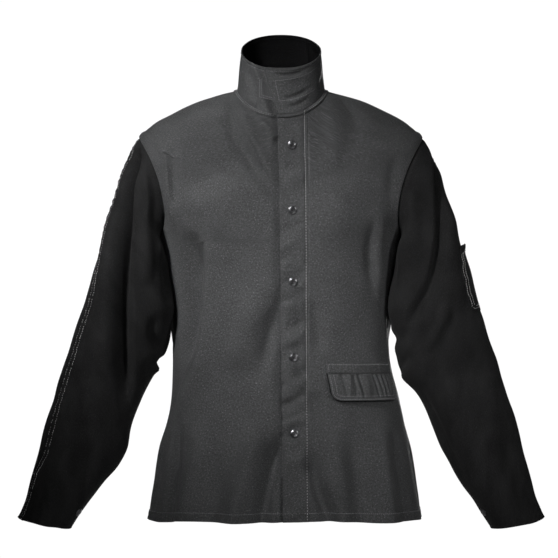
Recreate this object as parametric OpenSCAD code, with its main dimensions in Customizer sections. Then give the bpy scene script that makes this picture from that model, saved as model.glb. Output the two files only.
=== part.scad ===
// Welding jacket: cotton body and stand collar, split leather sleeves, snap front.
// The origin lies inside the neck opening, on the centre plane and level with the back of
// the shoulder line. +Z is up, +X is the wearer's left and -Y is the front. Each panel is a thin closed shell that follows one
// smooth body or sleeve surface, so that neighbouring panels meet along their seams.

/* [Body] */
// Length of the back from the collar seam to the hem
back_length = 763; // [740:1:790]
// Half of the body's width at the waist
waist_half = 190; // [184:1:192]
// Half of the body's width at the hem
hem_half = 235; // [225:1:245]
// Half of the width across the shoulder tips
shoulder_half = 248; // [246:1:250]
// How far the centre front stands ahead of the side seams at the hem
front_depth = 128; // [124:1:132]
// How far the centre back stands behind the side seams
back_depth = 120; // [112:1:124]
// Thickness of the body cloth with its seams pressed flat
cloth_t = 2; // [1.6:0.1:2]

/* [Collar] */
// Half of the neck opening's width
neck_half = 76; // [74:1:80]
// Half of the collar's width at its rim
rim_half = 69; // [66:1:72]
// How far the collar stands up from its seam at the centre back
collar_rise = 79; // [70:1:85]

/* [Front closing] */
// Width of the placket from its free edge to its stitch row
placket_w = 46; // [44:1:48]
// Width of the button stand that lies under the placket
stand_w = 34; // [32:1:36]
// Drop of each snap below the neck plane, from the top
snap_drops = [83, 195, 317, 444, 576];
// Diameter of a snap cap
cap_d = 15; // [13:0.5:16]
// Height of a snap cap's dome
cap_h = 2.6; // [2:0.1:3]

/* [Hip pocket] */
// Drop of the pocket band's top edge below the neck plane
pocket_drop = 452; // [448:1:456]
// Height of the pocket band
band_h = 18.5; // [16:0.5:20]
// Height of the flap below the band
flap_h = 47; // [42:1:52]
// Depth of the pocket bag below its mouth
bag_depth = 150; // [120:5:170]

/* [Sleeves] */
// Thickness of the split leather
leather_t = 2; // [1.6:0.1:2]
// How far the cuff hangs forward of the shoulder tip
sleeve_forward = 42; // [34:1:48]
// Angle of the right sleeve's front seam, from its outermost line round to the front
right_seam = 31; // [28:1:34]
// Angle of the left sleeve's front seam, which lies under the pen pocket
left_seam = -12; // [-16:1:-8]
// Length of the sleeve's pen pocket
pen_pocket_l = 118; // [105:1:125]

/* [Hidden] */

CLOTH = [0.27, 0.27, 0.28];
CLOTH_INSIDE = [0.18, 0.18, 0.19];
LEATHER = [0.1, 0.1, 0.1];
HOOK_TAPE = [0.14, 0.14, 0.15];
METAL = [0.36, 0.36, 0.38];
ROUND = 48;

// Depths of the layers below the outer surface, where the front closes
placket_t = 1.4;
facing_t = 1.2;
layer_gap = 0.2;
facing_at = placket_t + layer_gap;
socket_at = facing_at + facing_t + 0.3;
socket_t = 1.7;
stand_at = 5.6;
stand_t = 1.6;
stand_facing_at = stand_at + stand_t + 0.7;
stud_back_at = stand_facing_at + facing_t + 0.3;

// Depths of the layers where the collar closes
collar_t = 1.6;
collar_lining_at = collar_t + layer_gap;
collar_lining_t = 1.2;
hook_at = collar_lining_at + collar_lining_t + 0.1;
tape_t = 1.2;
loop_at = 4.7;
under_end_at = 6;
under_end_x = 22;

// Heights of the hem and of the collar seam at the centre front
hem_z = 35 - back_length;
hem_front_z = hem_z + 5;
neck_front_z = -40;
neck_front = 112;
shoulder_z = -63;

// The centre front is one straight line from the hem to the collar seam
function front_y(z) =
    -front_depth + (front_depth - neck_front) * (z - hem_front_z) / (neck_front_z - hem_front_z);

// A level line round the body: half width, middle x, y at the side, at the front and at
// the back, then z at the front, at the side and at the back
function ring(half, mid, side_y, back_y, front_z, side_z, back_z) =
    [half, mid, side_y, front_y(front_z), back_y, front_z, side_z, back_z];

ARMPIT = 5;
TIP = 7;
NECK = 11;
RINGS = [
    ring(hem_half, 9, 0, back_depth, hem_front_z, hem_z - 3, hem_z),
    ring(hem_half - 22, 9, 0, back_depth - 1, -600, -600, -600),
    ring(waist_half + 9, 7, 0, back_depth - 2, -520, -520, -520),
    ring(waist_half, 0, 0, back_depth - 2, -440, -440, -440),
    ring(waist_half + 2, 0, 0, back_depth, -350, -350, -350),
    ring(waist_half + 24, 0, 0, back_depth + 2, -250, -250, -250),
    ring(shoulder_half + 9, 0, 0, back_depth + 4, -190, -150, -160),
    ring(shoulder_half, 0, 0, back_depth - 3, -130, shoulder_z, -90),
    ring(shoulder_half - 23, 0, -4, back_depth - 12, -112, -44, -65),
    ring(shoulder_half - 47, 0, -9, back_depth - 22, -98, -30, -45),
    ring(141, 0, -24, back_depth - 50, -72, -6, -12),
    ring(neck_half, 0, -42, 28, neck_front_z, 14, 35)
];
RIM = [rim_half, 0, -40, -106, 29, 37, 82, 35 + collar_rise];

// Exponent that makes the rings a little squarer than ellipses
SQUARE = 2.3;

function power(a, e) = sign(a) * pow(abs(a), e);
function unit(a) = a / norm(a);
function smooth(a) = let (b = min(max(a, 0), 1)) b * b * (3 - 2 * b);
function mix(a, b, f) = a + (b - a) * f;

// A smooth ring between the given ones
function ring_at(t) =
    let (i = min(floor(t), len(RINGS) - 2), f = t - i)
    let (a = RINGS[max(i - 1, 0)], b = RINGS[i])
    let (c = RINGS[i + 1], d = RINGS[min(i + 2, len(RINGS) - 1)])
    b + ((c - a) + (2 * a - 5 * b + 4 * c - d) * f + (3 * b - a - 3 * c + d) * f * f) * f / 2;

// The point of a ring at an angle: 0 is the front, 90 the wearer's left, 180 the back
function ring_point(r, angle) =
    let (across = power(sin(angle), 2 / SQUARE), along = pow(abs(cos(angle)), 2 / SQUARE))
    let (rise = pow(abs(cos(angle)), 1.5), ahead = cos(angle) > 0)
    [
        r[1] + r[0] * across,
        mix(r[2], ahead ? r[3] : r[4], along),
        mix(r[6], ahead ? r[5] : r[7], rise)
    ];

function ring_angle(r, x) = asin(power((x - r[1]) / r[0], SQUARE / 2));
function body_point(angle, t) = ring_point(ring_at(t), angle);
function angle_at(x, t) = ring_angle(ring_at(t), x);
function row_at(z) = lookup(z, [for (i = [0 : NECK]) [RINGS[i][5], i]]);

// The armhole: the side seam opens between the armpit and the shoulder tip
ARMHOLE_REACH = 32;
SEAM = 0.06;
function arch(t) = t <= ARMPIT || t >= TIP ? 0 : sqrt(1 - pow(t - (ARMPIT + TIP) / 2, 2));
function edge_angle(t) = 90 - SEAM - ARMHOLE_REACH * arch(t);

ROWS_ARM = [for (k = [1 : 5]) 6 - cos(30 * k)];
ROWS_TOP = [TIP, 7.5, 8, 9, 10, 10.5, NECK];
ROWS = concat([for (k = [0 : 10]) k / 2], ROWS_ARM, ROWS_TOP);

// The outward direction at each point of a grid of rows, by its neighbours
function normal(g, i, j) =
    let (a = g[i][max(j - 1, 0)], b = g[i][min(j + 1, len(g[0]) - 1)])
    let (c = g[max(i - 1, 0)][j], d = g[min(i + 1, len(g) - 1)][j])
    unit(cross(b - a, d - c));

// The grid moved inward by a depth that may differ from point to point
function sunk(g, depth) = [
    for (i = [0 : len(g) - 1]) [
        for (j = [0 : len(g[0]) - 1]) g[i][j] - normal(g, i, j) * depth(g[i][j])
    ]
];

function flat(g) = [for (row = g) each row];
function even(depth) = function (p) depth;

// A closed shell from an outer grid and an inner grid, with cells left out for a slit
module shell(outer, inner, slit = [0, 0, 0, 0]) {
    rows = len(outer);
    cols = len(outer[0]);
    size = rows * cols;
    function there(i, j) =
        i >= 0 && j >= 0 && i < rows - 1 && j < cols - 1
        && !(i >= slit[0] && i < slit[1] && j >= slit[2] && j < slit[3]);
    function wall(p, q) = [[p, q, q + size], [p, q + size, p + size]];
    faces = [
        for (i = [0 : rows - 2], j = [0 : cols - 2]) if (there(i, j))
            let (a = i * cols + j, b = a + 1, c = a + cols + 1, d = a + cols)
            each concat(
                [[a, d, c], [a, c, b]],
                [[a + size, b + size, c + size], [a + size, c + size, d + size]],
                there(i - 1, j) ? [] : wall(a, b),
                there(i + 1, j) ? [] : wall(c, d),
                there(i, j - 1) ? [] : wall(d, a),
                there(i, j + 1) ? [] : wall(b, c)
            )
    ];
    polyhedron(points = concat(flat(outer), flat(inner)), faces = faces, convexity = 10);
}

// One layer of cloth between two depths below a grid
module layer(g, from, thick, slit = [0, 0, 0, 0]) {
    shell(sunk(g, even(from)), sunk(g, even(from + thick)), slit);
}

// A closed skin over a stack of loops, with flat ends
module skin(loops) {
    n = len(loops[0]);
    last = len(loops) - 1;
    sides = [
        for (i = [0 : last - 1], j = [0 : n - 1])
            let (a = i * n + j, b = i * n + (j + 1) % n)
            each [[a, b, b + n], [a, b + n, a + n]]
    ];
    first_end = [[for (j = [n - 1 : -1 : 0]) j]];
    last_end = [[for (j = [0 : n - 1]) last * n + j]];
    polyhedron(points = flat(loops), faces = concat(sides, first_end, last_end), convexity = 10);
}

// A grid on the body between two angles that are functions of the row
function body_grid(rows, from, to, cols) = [
    for (t = rows) [for (k = [0 : cols]) body_point(mix(from(t), to(t), k / cols), t)]
];

// ---- Body panels -------------------------------------------------------------------

// The placket's free edge and its snaps lean a little towards the hem
PLACKET_LEAN = 0.009;
edge_at_neck = -6;
function placket_edge(t) = mix(3, edge_at_neck, t / NECK);
hinge_x = placket_w;
hinge_gap = 0.3;

// How deep the button stand lies under the placket
stand_from = -50;
stand_slope = 38;
function stand_share(p) = p[1] > 0 ? 0 : smooth((p[0] - stand_from) / stand_slope);
function stand_depth(p) = stand_at * stand_share(p);

function right_front_grid() =
    body_grid(ROWS, function (t) -edge_angle(t), function (t) angle_at(stand_w, t), 24);

module right_front_panel() {
    g = right_front_grid();
    color(CLOTH) shell(
        sunk(g, function (p) stand_depth(p)),
        sunk(g, function (p) stand_depth(p) + mix(cloth_t, stand_t, stand_share(p)))
    );
}

module right_front_facing() {
    g = body_grid(
        ROWS, function (t) angle_at(0, t), function (t) angle_at(stand_w - 1, t), 3
    );
    color(CLOTH_INSIDE) layer(g, stand_facing_at, facing_t);
}

// The slit of the hip pocket: two rows of the left front and some of its columns
SLIT_LOW = row_at(-pocket_drop - band_h - 14);
SLIT_HIGH = row_at(-pocket_drop - band_h - 4);
LEFT_ROWS = concat(
    [0, 0.5, 1, 1.5, 2, SLIT_LOW, SLIT_HIGH, 3, 3.5, 4, 4.5, 5], ROWS_ARM, ROWS_TOP
);
SLIT = [5, 6, 3, 13];

module left_front_panel() {
    g = body_grid(
        LEFT_ROWS, function (t) angle_at(hinge_x + hinge_gap, t), function (t) edge_angle(t), 20
    );
    color(CLOTH) layer(g, 0, cloth_t, SLIT);
}

module back_panel() {
    g = body_grid(
        ROWS, function (t) 180 - edge_angle(t), function (t) 180 + edge_angle(t), 28
    );
    color(CLOTH) layer(g, 0, cloth_t);
}

// ---- Front closing -----------------------------------------------------------------

function placket_grid(inset, rows) = body_grid(
    rows,
    function (t) angle_at(placket_edge(t) + inset, t),
    function (t) angle_at(hinge_x - hinge_gap - inset, t),
    4
);

module front_placket() {
    color(CLOTH) layer(placket_grid(0, ROWS), 0, placket_t);
}

module placket_facing() {
    color(CLOTH_INSIDE) layer(placket_grid(0.5, ROWS), facing_at, facing_t);
}

// Children stand on the body's surface at x and z, with their +Z outward
module on_front(x, z) {
    t = row_at(z);
    a = angle_at(x, t);
    g = [for (i = [-1 : 1]) [for (j = [-1 : 1]) body_point(a + j, t + i / 20)]];
    n = normal(g, 1, 1);
    translate(g[1][1]) rotate([0, acos(n[2]), atan2(n[1], n[0])]) children();
}

module each_snap() {
    for (drop = snap_drops)
        on_front(placket_w / 2 - 4.5 + PLACKET_LEAN * (drop - snap_drops[0]), -drop)
            children();
}

// A pressed cap: a rolled lip, a domed top and a shallow dimple
module cap() {
    r = cap_d / 2;
    dome = [for (a = [0 : 10 : 90]) [r * 0.92 * cos(a), 0.9 + (cap_h - 0.9) * sin(a)]];
    rotate_extrude($fn = ROUND)
        polygon(concat([[0, 0], [r - 0.4, 0], [r, 0.4], [r, 0.7], [r - 0.3, 0.9]], dome));
}

module socket() {
    difference() {
        cylinder(h = socket_t, d = 11, $fn = ROUND);
        translate([0, 0, -1]) cylinder(h = socket_t + 2, d = 5.6, $fn = ROUND);
    }
}

module stud() {
    cylinder(h = 0.6, d = 11, $fn = ROUND);
    cylinder(h = 2.2, d = 4.2, $fn = ROUND);
}

module snap_caps() {
    color(METAL) each_snap() translate([0, 0, 0.1]) cap();
}

module snap_sockets() {
    color(METAL) each_snap() translate([0, 0, -socket_at - socket_t]) socket();
}

module snap_studs() {
    color(METAL) each_snap() translate([0, 0, -stand_at + 0.1]) stud();
}

module snap_stud_backs() {
    color(METAL) each_snap() translate([0, 0, -stud_back_at - 1.1])
        cylinder(h = 1.1, d = 10, $fn = ROUND);
}

// ---- Collar ------------------------------------------------------------------------

COLLAR_ROWS = [0.01, 0.25, 0.5, 0.75, 1];
function collar_ring(h) = mix(RINGS[NECK], RIM, h);
function collar_x(x, h) = ring_angle(collar_ring(h), x);
function collar_grid(rows, from, to, cols) = [
    for (h = rows) [
        for (k = [0 : cols]) ring_point(collar_ring(h), mix(from(h), to(h), k / cols))
    ]
];

// The wearer's right end goes under the left one
function under_depth(p) =
    p[1] > -45 || p[0] > 40 ? 0 : under_end_at * smooth((p[0] + 68) / 26);

function collar_round() = collar_grid(
    COLLAR_ROWS,
    function (h) collar_x(hinge_x + hinge_gap, h),
    function (h) 360 + collar_x(under_end_x, h),
    36
);

module collar_part(from, thick) {
    g = collar_round();
    shell(
        sunk(g, function (p) under_depth(p) + from),
        sunk(g, function (p) under_depth(p) + from + thick)
    );
}

module collar_outer() {
    color(CLOTH) collar_part(0, collar_t);
}

module collar_lining() {
    color(CLOTH_INSIDE) collar_part(collar_lining_at, collar_lining_t);
}

// The free edge of the left end slants back towards the rim
edge_at_rim = -32;
function left_end_grid(inset) = collar_grid(
    COLLAR_ROWS,
    function (h) collar_x(mix(edge_at_neck, edge_at_rim, h) + inset, h),
    function (h) collar_x(hinge_x - hinge_gap - inset, h),
    8
);

module collar_left_end() {
    color(CLOTH) layer(left_end_grid(0), 0, collar_t);
}

module collar_left_end_lining() {
    color(CLOTH_INSIDE) layer(left_end_grid(0.5), collar_lining_at, collar_lining_t);
}

module tape(left_x, right_x, depth) {
    g = collar_grid(
        [0.32, 0.56, 0.8], function (h) collar_x(left_x, h), function (h) collar_x(right_x, h), 6
    );
    color(HOOK_TAPE) layer(g, depth, tape_t);
}

module collar_hook_patch() {
    tape(-6, 42, hook_at);
}

module collar_loop_patch() {
    tape(-37, under_end_x - 2, loop_at);
}

// A short tape bowed away from the collar lining at the centre back
module hang_loop() {
    half = 30;
    tape_y = 20;
    tape_h = 8;
    tape_z = 38;
    bow = 5;
    function line(x) = tape_y - bow * cos(90 * x / half);
    xs = [for (k = [-10 : 10]) half * k / 10];
    color(CLOTH_INSIDE) translate([0, 0, tape_z]) linear_extrude(tape_h)
        polygon(concat(
            [for (x = xs) [x, line(x)]],
            [for (k = [10 : -1 : -10]) [half * k / 10, line(half * k / 10) - tape_t]]
        ));
}

// ---- Hip pocket --------------------------------------------------------------------

FLAP_FROM = 20;
FLAP_TO = 70;
FLAP_W = 125;
BAG_FROM = 23;
BAG_TO = 65;
flap_top_z = -pocket_drop - band_h - 1;

module pocket_band() {
    rows = [row_at(-pocket_drop - band_h), row_at(-pocket_drop - band_h / 2), row_at(-pocket_drop)];
    g = body_grid(rows, function (t) FLAP_FROM, function (t) FLAP_TO, 16);
    color(CLOTH) layer(g, -2.2, 1.6);
}

// The lower edge rises in a quarter circle at both ends
function corner(s, radius) =
    let (d = min(s, 1 - s) * FLAP_W) d >= radius ? 0 : radius - sqrt(radius * radius - pow(radius - d, 2));

function flap_grid(inset) = [
    for (f = [0, 0.34, 0.67, 1]) [
        for (k = [0 : 24])
            let (s = k / 24, low = flap_top_z - flap_h + inset + corner(s, 16))
            body_point(mix(FLAP_FROM, FLAP_TO, s), row_at(mix(low, flap_top_z, f)))
    ]
];

module pocket_flap() {
    color(CLOTH) layer(flap_grid(0), -3.3, 1.6);
}

module pocket_flap_lining() {
    color(CLOTH_INSIDE) layer(flap_grid(0.6), -1.5, 1);
}

// A pouch behind the slit, with its back wall higher than its front one
module pocket_bag() {
    wall = 1;
    room = 22;
    front_at = cloth_t + 0.4;
    top_z = -pocket_drop - band_h - 16;
    lift = 16;
    function bag_point(a, z, depth) =
        let (t = row_at(z))
        let (g = [for (i = [-1 : 1]) [for (j = [-1 : 1]) body_point(a + j, t + i / 20)]])
        g[1][1] - normal(g, 1, 1) * depth;
    // A loop at one height, between two depths, drawn in from the sides by an angle
    function loop(z, near, far, inset, rise) = concat(
        [for (k = [0 : 8]) bag_point(mix(BAG_FROM + inset, BAG_TO - inset, k / 8), z, near)],
        [for (k = [8 : -1 : 0])
            bag_point(mix(BAG_FROM + inset, BAG_TO - inset, k / 8), z + rise, far)]
    );
    near_in = front_at + wall;
    far_in = near_in + room;
    low_z = top_z - bag_depth;
    color(CLOTH_INSIDE) skin([
        loop(low_z + wall, near_in, far_in, 0.6, 0),
        loop(mix(low_z, top_z, 0.5), near_in, far_in, 0.6, 0),
        loop(top_z, near_in, far_in, 0.6, lift),
        loop(top_z, front_at, far_in + wall, 0, lift),
        loop(mix(low_z, top_z, 0.5), front_at, far_in + wall, 0, 0),
        loop(low_z, front_at, far_in + wall, 0, 0)
    ]);
}

// ---- Sleeves -----------------------------------------------------------------------

// A ring of the sleeve: x and z of its inner point, x and z of its outer one, and half of
// its depth from front to back
SLEEVE = [
    [waist_half + 24, -250, shoulder_half, shoulder_z, 66],
    [213, -268, 266, -96, 68],
    [209, -284, 282, -140, 71],
    [203, -306, 297, -196, 73],
    [197, -332, 313, -252, 73],
    [193, -362, 330, -312, 71],
    [191, -400, 349, -374, 68],
    [199, -437, 370, -437, 65],
    [220, -478, 388, -495, 61],
    [248, -532, 406, -555, 57],
    [272, -590, 424, -622, 53],
    [302, -650, 439, -680, 50],
    [336, -702, 450, -710, 47],
    [364, -743, 456, -722, 46]
];
CUFF = len(SLEEVE) - 1;
// How much of the armhole's own shape is left in the first rings
FOLLOW = [1, 0.6, 0.25, 0.06, 0];

function sleeve_ring(k) =
    let (i = min(floor(k), CUFF - 1)) mix(SLEEVE[i], SLEEVE[i + 1], k - i);

function oval(r, phi, forward) = [
    mix(r[0], r[2], (1 + cos(phi)) / 2),
    -forward - r[4] * sin(phi),
    mix(r[1], r[3], (1 + cos(phi)) / 2)
];

// The armhole's edge, drawn in a little so that sleeve and body stay apart
function armhole_point(phi) =
    body_point(90 - (ARMHOLE_REACH - 1.2) * sin(phi), 6 + 0.96 * cos(phi));

// A point of the sleeve: 0 is its outermost line, 90 its front, 180 under the arm
function sleeve_point(phi, k) =
    let (share = k >= 4 ? 0 : mix(FOLLOW[floor(k)], FOLLOW[floor(k) + 1], k - floor(k)))
    oval(sleeve_ring(k), phi, sleeve_forward * k / CUFF)
    + share * (armhole_point(phi) - oval(SLEEVE[0], phi, 0));

function sleeve_grid(rows, from, to, cols) = [
    for (k = rows) [for (j = [0 : cols]) sleeve_point(mix(from, to, j / cols), k)]
];

SLEEVE_ROWS = concat([0, 0.5], [for (k = [1 : CUFF]) k]);
LAP = 0.35;

module sleeve_front(seam) {
    g = sleeve_grid(SLEEVE_ROWS, seam + LAP, 180 - LAP, 14);
    color(LEATHER) layer(g, 0, leather_t);
}

module sleeve_back(seam) {
    g = sleeve_grid(SLEEVE_ROWS, 180 + LAP, 360 + seam - LAP, 16);
    color(LEATHER) layer(g, 0, leather_t);
}

// A patch over the outer line of the sleeve that stands open at its top
module sleeve_pen_pocket() {
    from = 4;
    to = from + pen_pocket_l / 63;
    steps = 6;
    reach = 34;
    bulge = 9;
    g = sleeve_grid([for (i = [0 : steps]) mix(from, to, i / steps)], -reach, reach, 10);
    function stand(i, j) = 0.4 + bulge * (1 - pow(j / 5 - 1, 4)) * (1 - pow(i / steps, 3));
    function lifted(extra) = [
        for (i = [0 : steps]) [
            for (j = [0 : 10]) g[i][j] + normal(g, i, j) * (stand(i, j) + extra)
        ]
    ];
    color(LEATHER) shell(lifted(1.6), lifted(0));
}

// The strip of leather under the front panel, which the cuff snap closes on
module cuff_underlap() {
    g = sleeve_grid([11.6, 12, 12.5, 12.9], 138, 176, 5);
    color(LEATHER) layer(g, leather_t + 0.4, 1.4);
}

module on_cuff(depth) {
    phi = 154;
    k = 12.25;
    g = [for (i = [-1 : 1]) [for (j = [-1 : 1]) sleeve_point(phi + j, k + i / 20)]];
    n = normal(g, 1, 1);
    translate(g[1][1] - n * depth) rotate([0, acos(n[2]), atan2(n[1], n[0])]) children();
}

module cuff_snap_cap() {
    color(METAL) on_cuff(-0.5) cap();
}

module cuff_snap_stud() {
    color(METAL) on_cuff(leather_t + 3.4) cylinder(h = 1.1, d = 10, $fn = ROUND);
}

module on_right() {
    mirror([1, 0, 0]) children();
}

back_panel();
right_front_panel();
left_front_panel();
right_front_facing();
collar_outer();
collar_lining();
collar_loop_patch();
snap_studs();
snap_stud_backs();
pocket_band();
pocket_bag();
hang_loop();
front_placket();
placket_facing();
snap_caps();
snap_sockets();
collar_left_end();
collar_left_end_lining();
collar_hook_patch();
pocket_flap();
pocket_flap_lining();
sleeve_front(left_seam);  // left_sleeve_front
sleeve_back(left_seam);  // left_sleeve_back
sleeve_pen_pocket();
cuff_underlap();  // left_cuff_underlap
cuff_snap_cap();  // left_cuff_snap_cap
cuff_snap_stud();  // left_cuff_snap_stud
on_right() sleeve_front(right_seam);  // right_sleeve_front
on_right() sleeve_back(right_seam);  // right_sleeve_back
on_right() cuff_underlap();  // right_cuff_underlap
on_right() cuff_snap_cap();  // right_cuff_snap_cap
on_right() cuff_snap_stud();  // right_cuff_snap_stud
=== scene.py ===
import math

import bpy
import numpy as np
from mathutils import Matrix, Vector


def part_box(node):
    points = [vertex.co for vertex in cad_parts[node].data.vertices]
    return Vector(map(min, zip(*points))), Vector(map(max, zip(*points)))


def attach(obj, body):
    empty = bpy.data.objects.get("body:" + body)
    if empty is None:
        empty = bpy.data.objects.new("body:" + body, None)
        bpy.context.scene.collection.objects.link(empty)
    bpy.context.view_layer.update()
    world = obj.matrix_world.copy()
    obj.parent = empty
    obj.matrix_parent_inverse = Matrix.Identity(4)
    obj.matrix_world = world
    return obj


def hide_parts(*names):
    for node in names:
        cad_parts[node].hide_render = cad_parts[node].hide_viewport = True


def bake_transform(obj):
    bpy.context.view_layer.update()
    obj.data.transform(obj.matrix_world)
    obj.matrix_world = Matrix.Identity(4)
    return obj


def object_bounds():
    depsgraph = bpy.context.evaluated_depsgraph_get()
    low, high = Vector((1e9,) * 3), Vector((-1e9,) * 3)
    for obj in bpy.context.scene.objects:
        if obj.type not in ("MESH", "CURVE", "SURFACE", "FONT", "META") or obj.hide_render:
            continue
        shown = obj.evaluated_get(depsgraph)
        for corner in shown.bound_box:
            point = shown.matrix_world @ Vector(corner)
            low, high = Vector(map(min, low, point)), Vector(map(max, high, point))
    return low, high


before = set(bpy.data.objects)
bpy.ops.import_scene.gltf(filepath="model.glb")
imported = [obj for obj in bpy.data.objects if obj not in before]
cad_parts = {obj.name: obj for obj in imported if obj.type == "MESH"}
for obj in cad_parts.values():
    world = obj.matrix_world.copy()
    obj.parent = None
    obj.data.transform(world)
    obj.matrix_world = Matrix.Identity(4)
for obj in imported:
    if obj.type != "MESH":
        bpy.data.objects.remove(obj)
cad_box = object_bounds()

# The jacket's cloth and leather, built on the same smooth surfaces as the CAD panels.
# Lengths are in millimetres and angles in degrees; MM turns a mesh to metres.
MM = 0.001


def corners(node):
    lo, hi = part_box(node)
    return np.round(np.array(lo) / MM), np.round(np.array(hi) / MM)


back_lo, back_hi = corners("back_panel")
placket_lo, placket_hi = corners("front_placket")
collar_hi = corners("collar_outer")[1]
sleeve_lo = corners("left_sleeve_back")[0]


# ---- Camera --------------------------------------------------------------------------

box_lo, box_hi = (np.array(corner) for corner in cad_box)
CAMERA_AWAY = 3.6
CAMERA_LEFT = 0.0035
CAMERA_RISE = 0.003
VIEW_MARGIN = 1.071
VIEW_WIDTH = VIEW_MARGIN * (box_hi[0] - box_lo[0])
SENSOR = 36.0

camera = bpy.data.objects.new("camera", bpy.data.cameras.new("camera"))
bpy.context.scene.collection.objects.link(camera)
bpy.context.scene.camera = camera
camera.location = (-CAMERA_LEFT, -CAMERA_AWAY, (box_lo[2] + box_hi[2]) / 2 + CAMERA_RISE)
camera.rotation_euler = (math.radians(90), 0, 0)
camera.data.sensor_width = SENSOR
camera.data.lens = SENSOR * CAMERA_AWAY / VIEW_WIDTH


# ---- Surfaces ------------------------------------------------------------------------

SHOULDER_HALF = back_hi[0]
BACK_DEPTH = back_hi[1] - 4
NECK_BACK_Z = back_hi[2]
HEM_Z = back_lo[2] + 3
HEM_FRONT_Z = HEM_Z + 5
FRONT_DEPTH = -placket_lo[1]
NECK_HALF = collar_hi[0]
COLLAR_TOP = collar_hi[2]
WAIST_HALF = sleeve_lo[0] - 1
HEM_HALF = 235
NECK_FRONT = 112
NECK_FRONT_Z = -40
SHOULDER_Z = -63
SQUARE = 2.3
ARMPIT, TIP, NECK = 5, 7, 11
ARM_ROW = (ARMPIT + TIP) / 2
ARMHOLE_REACH = 32
FRONT_REACH = 40
# The sleeve starts this many degrees and this share of the armhole inside its edge
ARMHOLE_GAP = 0.6
ARMHOLE_SHARE = 0.982
HINGE_X = placket_hi[0]
STAND_X = 34


def smooth(a):
    b = np.clip(a, 0, 1)
    return b * b * (3 - 2 * b)


def bell(a, width):
    """1 where a is 0, fading out on both sides."""
    return np.exp(-(a / width) ** 2)


def mix(a, b, f):
    return a + (b - a) * f


def through(a, b, c, d, f):
    """A place between b and c, on a smooth line that comes from a and goes on to d."""
    return b + ((c - a) + (2 * a - 5 * b + 4 * c - d) * f + (3 * b - a - 3 * c + d) * f * f) * f / 2


def rounded(radius, along):
    """How far a rounded corner falls back, by the distance along its edge."""
    left = np.clip(radius - along, 0, radius)
    return radius - np.sqrt(radius ** 2 - left ** 2)


def sin_cos(angle):
    return np.sin(np.radians(angle)), np.cos(np.radians(angle))


def same_shape(*values):
    return np.broadcast_arrays(*(np.asarray(value, float) for value in values))


def power(a, e):
    return np.sign(a) * np.abs(a) ** e


def unit(a):
    return a / np.maximum(np.linalg.norm(a, axis=-1, keepdims=True), 1e-9)


def front_y(z):
    share = (z - HEM_FRONT_Z) / (NECK_FRONT_Z - HEM_FRONT_Z)
    return -FRONT_DEPTH + (FRONT_DEPTH - NECK_FRONT) * share


def ring(half, mid, side_y, back_y, front_z, side_z, back_z):
    """A level line round the body."""
    return [half, mid, side_y, front_y(front_z), back_y, front_z, side_z, back_z]


RINGS = np.array([
    ring(HEM_HALF, 9, 0, BACK_DEPTH, HEM_FRONT_Z, HEM_Z - 3, HEM_Z),
    ring(HEM_HALF - 22, 9, 0, BACK_DEPTH - 1, -600, -600, -600),
    ring(WAIST_HALF + 9, 7, 0, BACK_DEPTH - 2, -520, -520, -520),
    ring(WAIST_HALF, 0, 0, BACK_DEPTH - 2, -440, -440, -440),
    ring(WAIST_HALF + 2, 0, 0, BACK_DEPTH, -350, -350, -350),
    ring(WAIST_HALF + 24, 0, 0, BACK_DEPTH + 2, -250, -250, -250),
    ring(SHOULDER_HALF + 9, 0, 0, BACK_DEPTH + 4, -190, -150, -160),
    ring(SHOULDER_HALF, 0, 0, BACK_DEPTH - 3, -130, SHOULDER_Z, -90),
    ring(SHOULDER_HALF - 23, 0, -4, BACK_DEPTH - 12, -112, -44, -65),
    ring(SHOULDER_HALF - 47, 0, -9, BACK_DEPTH - 22, -98, -30, -45),
    ring(141, 0, -24, BACK_DEPTH - 50, -72, -2, -10),
    ring(NECK_HALF, 0, -42, 28, NECK_FRONT_Z + 8, 14, NECK_BACK_Z),
], float)
RIM = np.array([NECK_HALF - 7, 0, -40, -106, 29, 47, 85, COLLAR_TOP + 5], float)


def row_between(table, t):
    """A table's row at a place that needn't be a whole number."""
    t = np.asarray(t, float)
    last = len(table) - 1
    i = np.clip(np.floor(t), 0, last - 1).astype(int)
    near = table[np.maximum(i - 1, 0)], table[i], table[i + 1], table[np.minimum(i + 2, last)]
    return through(*near, (t - i)[..., None])


def ring_point(r, angle, bow=1.5):
    """A ring's point: 0 is the front, 90 the wearer's left, 180 the back."""
    sine, cosine = sin_cos(angle)
    along, rise = np.abs(cosine) ** (2 / SQUARE), np.abs(cosine) ** bow
    ahead = cosine > 0
    x = r[..., 1] + r[..., 0] * power(sine, 2 / SQUARE)
    y = mix(r[..., 2], np.where(ahead, r[..., 3], r[..., 4]), along)
    z = mix(r[..., 6], np.where(ahead, r[..., 5], r[..., 7]), rise)
    return np.stack(np.broadcast_arrays(x, y, z), -1)


def ring_angle(r, x):
    share = np.clip((x - r[..., 1]) / r[..., 0], -1, 1)
    return np.degrees(np.arcsin(np.clip(power(share, SQUARE / 2), -1, 1)))


def ring_at(t):
    return row_between(RINGS, t)


def body_point(angle, t):
    return ring_point(ring_at(t), angle)


def angle_at(x, t):
    return ring_angle(ring_at(t), x)


def row_at(z):
    return np.interp(z, RINGS[:, 5], np.arange(NECK + 1))


def edge_angle(t, reach=FRONT_REACH):
    """Where a front ends at the side: on the side seam, or at the armhole's edge."""
    return 90 - reach * np.sqrt(np.clip(1 - (t - ARM_ROW) ** 2, 0, 1))


def collar_ring(h):
    return mix(RINGS[NECK], RIM, np.asarray(h, float)[..., None])


def collar_base(angle, h):
    return ring_point(collar_ring(h), angle, mix(1.5, 1.05, np.asarray(h, float)))


def collar_x(x, h):
    return ring_angle(collar_ring(h), x)


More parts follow.
